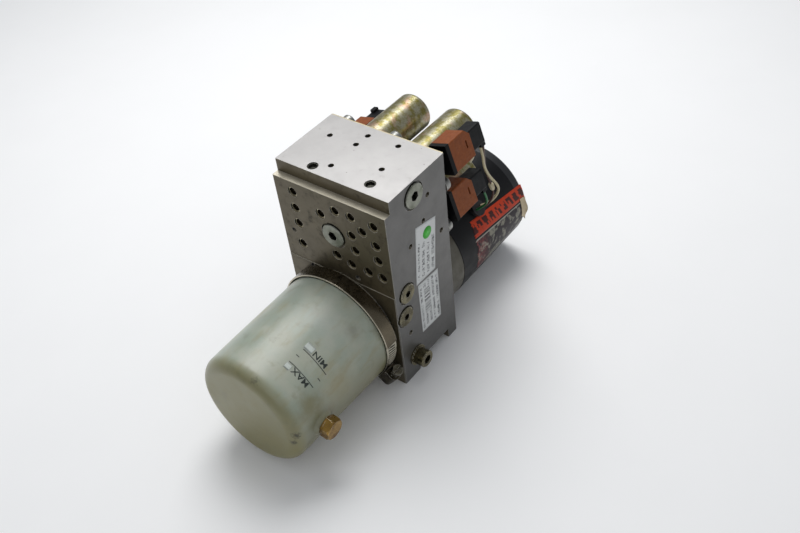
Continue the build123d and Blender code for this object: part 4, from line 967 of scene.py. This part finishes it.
# %% Labels on the block
def label_finish(name, columns, letters, seed, print_box, bars=None):
    """White film with small print inside a box, and bars inside another."""
    look = Finish(name, Roughness=0.4)
    across, up = look.sheet()
    low_x, high_x, low_y, high_y = print_box
    where = look.times(within(look, across, low_x, high_x), within(look, up, low_y, high_y))
    ink_share = look.times(small_print(look, columns, letters, seed), where)
    if bars:
        low_x, high_x, low_y, high_y = bars
        bar, _ = cells_of(look, 1.0, 90.0, seed + 3)
        box = look.times(within(look, across, low_x, high_x), within(look, up, low_y, high_y))
        ink_share = look.times(ink_share, look.sums("SUBTRACT", 1.0, box))
        barred = look.times(box, look.sums("GREATER_THAN", bar, 0.5))
        ink_share = look.sums("ADD", ink_share, barred)
    clouds = look.noise(8.0, detail=5.0)
    paper = look.mix(clouds, srgb(212, 214, 214), srgb(196, 198, 196))
    return look.done(look.mix(look.times(ink_share, 0.85), paper, srgb(44, 46, 50)))


SIDE_FACE = block_high.x
DOT_R = 0.00575
DOT_T = 0.0001
BLOCK_LABELS = {
    "block_label_upper": ([(0.0242, 0.1561), (0.0512, 0.1501), (0.0449, 0.0968), (0.0179, 0.0976)],
                          (4, 34, 3.0, (0.1, 0.95, 0.06, 0.7))),
    "block_label_lower": ([(0.0196, 0.0961), (0.0480, 0.0937), (0.0470, 0.0381), (0.0196, 0.0397)],
                          (5, 40, 11.0, (0.06, 0.95, 0.05, 0.96), (0.26, 0.52, 0.3, 0.82))),
}
for name, (corners, recipe) in BLOCK_LABELS.items():
    sheet, uv = patch([(SIDE_FACE, *corner) for corner in corners], 24, 12)
    piece = sticker(name, sheet, uv, np.array([1.0, 0, 0]), label_finish(name + "_print", *recipe))
    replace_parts(piece, "labels")


def green_dot():
    """A disc stuck on the upper label."""
    turn = np.linspace(0, 2 * np.pi, 49)[:-1]
    rim = np.stack([0 * turn, DOT_R * np.cos(turn), DOT_R * np.sin(turn)], axis=-1)
    middle = np.array([SIDE_FACE + 0.00016, 0.0385, 0.1416])
    lift = np.array([DOT_T, 0, 0])
    rings = np.stack([middle + rim * 0, middle + rim, middle + rim + lift, middle + lift + rim * 0])
    finish = moulded("green_paper", srgb(86, 204, 74), srgb(70, 186, 62), (0.5, 0.6))
    return new_piece("green_dot", rings, quads_of(*rings.shape[:2], join_columns=True), finish)


green_dot()

# %% [markdown]
# The motor's stickers wrap its round housing, so their corners are angles and places along the axis.
# The red strip has bold slanted blocks and peels at the rear. The silver label under it is torn and
# has lost its face, which leaves glue stained purple-black.

# %% Stickers on the motor
HOUSING_R = 0.055


def on_motor(corners, rows, columns, ragged=0.0):
    """A patch in angle and place, wrapped at the housing's radius, its first row made ragged."""
    flat, uv = patch(corners, rows, columns)
    y, angle = flat[..., 0], flat[..., 1]
    wave = np.sin(angle * 1.9) + 0.6 * np.sin(angle * 5.3 + 1) + 0.4 * np.sin(angle * 11.7 + 2)
    y = y + ragged * wave * (1 - uv[..., 0]) ** 8
    return round_shaft(HOUSING_R, y, angle), uv, outward_at(angle, y)


def red_strip_finish():
    """Orange-red film with dark slanted blocks, a pale border and scuffs."""
    look = Finish("red_strip", Roughness=0.4, Specular_IOR_Level=0.2)
    across, up = look.sheet()
    slanted = look.sums("ADD", look.times(across, 8.5), look.times(up, 0.7))
    cell = look.sums("FLOOR", slanted)
    inside = look.sums("FRACT", slanted)
    bold = within(look, inside, 0.1, 0.84)
    third = look.sums("FLOOR", look.times(inside, 4.0))
    level = look.sums("FLOOR", look.times(up, 5.0))
    in_cell = look.sums("ADD", third, look.times(level, 7.0))
    number = look.sums("ADD", look.times(cell, 31.0), in_cell)
    stroke = look.node("ShaderNodeTexWhiteNoise", {"W": number}, noise_dimensions="1D").outputs["Value"]
    solid = look.sums("GREATER_THAN", stroke, 0.3)
    ink_share = look.times(look.times(bold, within(look, up, 0.2, 0.8)), solid)
    base = look.mix(look.noise(7.0, detail=5.0), srgb(202, 64, 26), srgb(160, 44, 18))
    colour = look.mix(look.times(ink_share, 0.93), base, srgb(40, 18, 18))
    scuff = look.ease(look.noise(5.0, detail=7.0, rough=0.7, shift=(1, 1, 1)), 0.6, 0.7)
    return look.done(look.mix(look.times(scuff, 0.5), colour, srgb(92, 40, 36)))


def torn_label_finish():
    """Grey-green silver film, purple-black glue in patches and a pink-red front end."""
    look = Finish("torn_silver", Roughness=0.5, Specular_IOR_Level=0.25)
    across, up = look.sheet()
    torn = look.noise(9.0, detail=7.0, rough=0.65)
    fine = look.noise(2.5, detail=6.0, rough=0.7, shift=(3, 2, 1))
    colour = look.mix(look.ease(fine, 0.35, 0.65), srgb(142, 138, 124), srgb(92, 92, 84))
    colour = look.mix(look.ease(torn, 0.5, 0.56), srgb(30, 20, 27), colour)
    pink = look.times(look.ease(across, 0.3, 0.04), look.ease(fine, 0.4, 0.6))
    colour = look.mix(look.times(pink, 0.7), colour, srgb(138, 58, 58))
    edge = look.sums("SUBTRACT", 1.0, within(look, up, 0.03, 0.96))
    return look.done(look.mix(look.times(edge, 0.7), colour, srgb(176, 174, 164)))


sheet, uv, out = on_motor([(0.118, 36.2), (0.197, 26.4), (0.197, 10.8), (0.1145, 19.2)], 24, 60, 0.0006)
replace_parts(sticker("motor_strip_red", sheet, uv, out, red_strip_finish()), "labels")
sheet, uv, out = on_motor([(0.1145, 17.1), (0.1955, 9.2), (0.1945, -20.0), (0.1126, -21.0)], 36, 60, 0.0012)
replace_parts(sticker("motor_label_torn", sheet, uv, out, torn_label_finish()), "labels")


def peeled_flap():
    """The strip's cream backing, curling off the housing: radius grows with the square of the way out."""
    flat, uv = patch([(0.1885, 14.0), (0.1968, 13.0), (0.1968, -15.0), (0.1905, -9.0)], 30, 16)
    y, angle = flat[..., 0], flat[..., 1]
    lift = 0.0005 + 0.0034 * uv[..., 0] ** 2 * (0.7 + 0.3 * np.cos(np.radians(angle * 17)))
    y = y - 0.0016 * uv[..., 0] ** 3
    sheet = round_shaft(HOUSING_R + lift, y, angle)
    return sticker("strip_flap", sheet, uv, outward_at(angle, y),
                   moulded("cream_backing", srgb(206, 192, 160), srgb(170, 150, 120), (0.5, 0.6)), 0.00015)


peeled_flap()

# %% [markdown]
# Two crimp sleeves finish the leads: one on the brown lead above the grommet, and the tip of a spade
# terminal under the upper plug. Each is a lathe profile about a line between two points.

# %% Crimp sleeves
def sleeve(name, start, end, radii, finish):
    """Radii spaced evenly from start to end, turned about the line between them, closed at both ends."""
    start, end = np.array(start), np.array(end)
    along = (end - start) / np.linalg.norm(end - start)
    side = np.cross(along, [0, 0, 1.0])
    side /= np.linalg.norm(side)
    up = np.cross(side, along)
    turn = np.linspace(0, 2 * np.pi, 33)[:-1]
    ring = np.cos(turn)[:, None] * side + np.sin(turn)[:, None] * up
    radii = np.array([0, *radii, 0])
    share = np.array([0, *np.linspace(0, 1, len(radii) - 2), 1])
    points = start + (end - start) * share[:, None, None] + radii[:, None, None] * ring
    return new_piece(name, points, quads_of(len(radii), 32, join_columns=True), finish)


cream = moulded("crimp_nylon", srgb(206, 198, 172), srgb(176, 164, 132), (0.35, 0.5), 2.0, 0.4, 0.02)
sleeve("crimp_on_brown_lead", (0.0549, 0.1375, 0.1240), (0.0561, 0.1397, 0.1160),
       (0.0014, 0.0024, 0.0025, 0.0024, 0.0023, 0.0016), cream)
sleeve("crimp_under_plug", (0.0550, 0.1125, 0.1722), (0.0550, 0.1078, 0.1655),
       (0.0018, 0.0021, 0.0019, 0.0012, 0.0006), cream)

# %% [markdown]
# ## Springs
# Five small coil springs are hidden inside, behind the plungers, the relief poppet and the check ball. A coil
# shortens as its joint moves; here each spring only gets its own copy of its mesh, and the end that stays put is
# worked out from its joint's direction, but it is not flattened.

# %% Springs
SPRINGS = {
    "return_spring_upper_left": ("plunger_upper_left_slide", 1),
    "return_spring_upper_right": ("plunger_upper_right_slide", 1),
    "return_spring_lower_right": ("plunger_lower_right_slide", 1),
    "relief_spring": ("relief_slide", -1),
    "check_spring": ("check_ball_slide", 1),
}
for name, (joint, sign) in SPRINGS.items():
    low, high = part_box(name)
    axis = 0 if name == "check_spring" else 1
    anchor = list((low + high) / 2)
    anchor[axis] = high[axis] if sign > 0 else low[axis]
    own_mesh(nodes[name])

# %% Sizes
low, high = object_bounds()
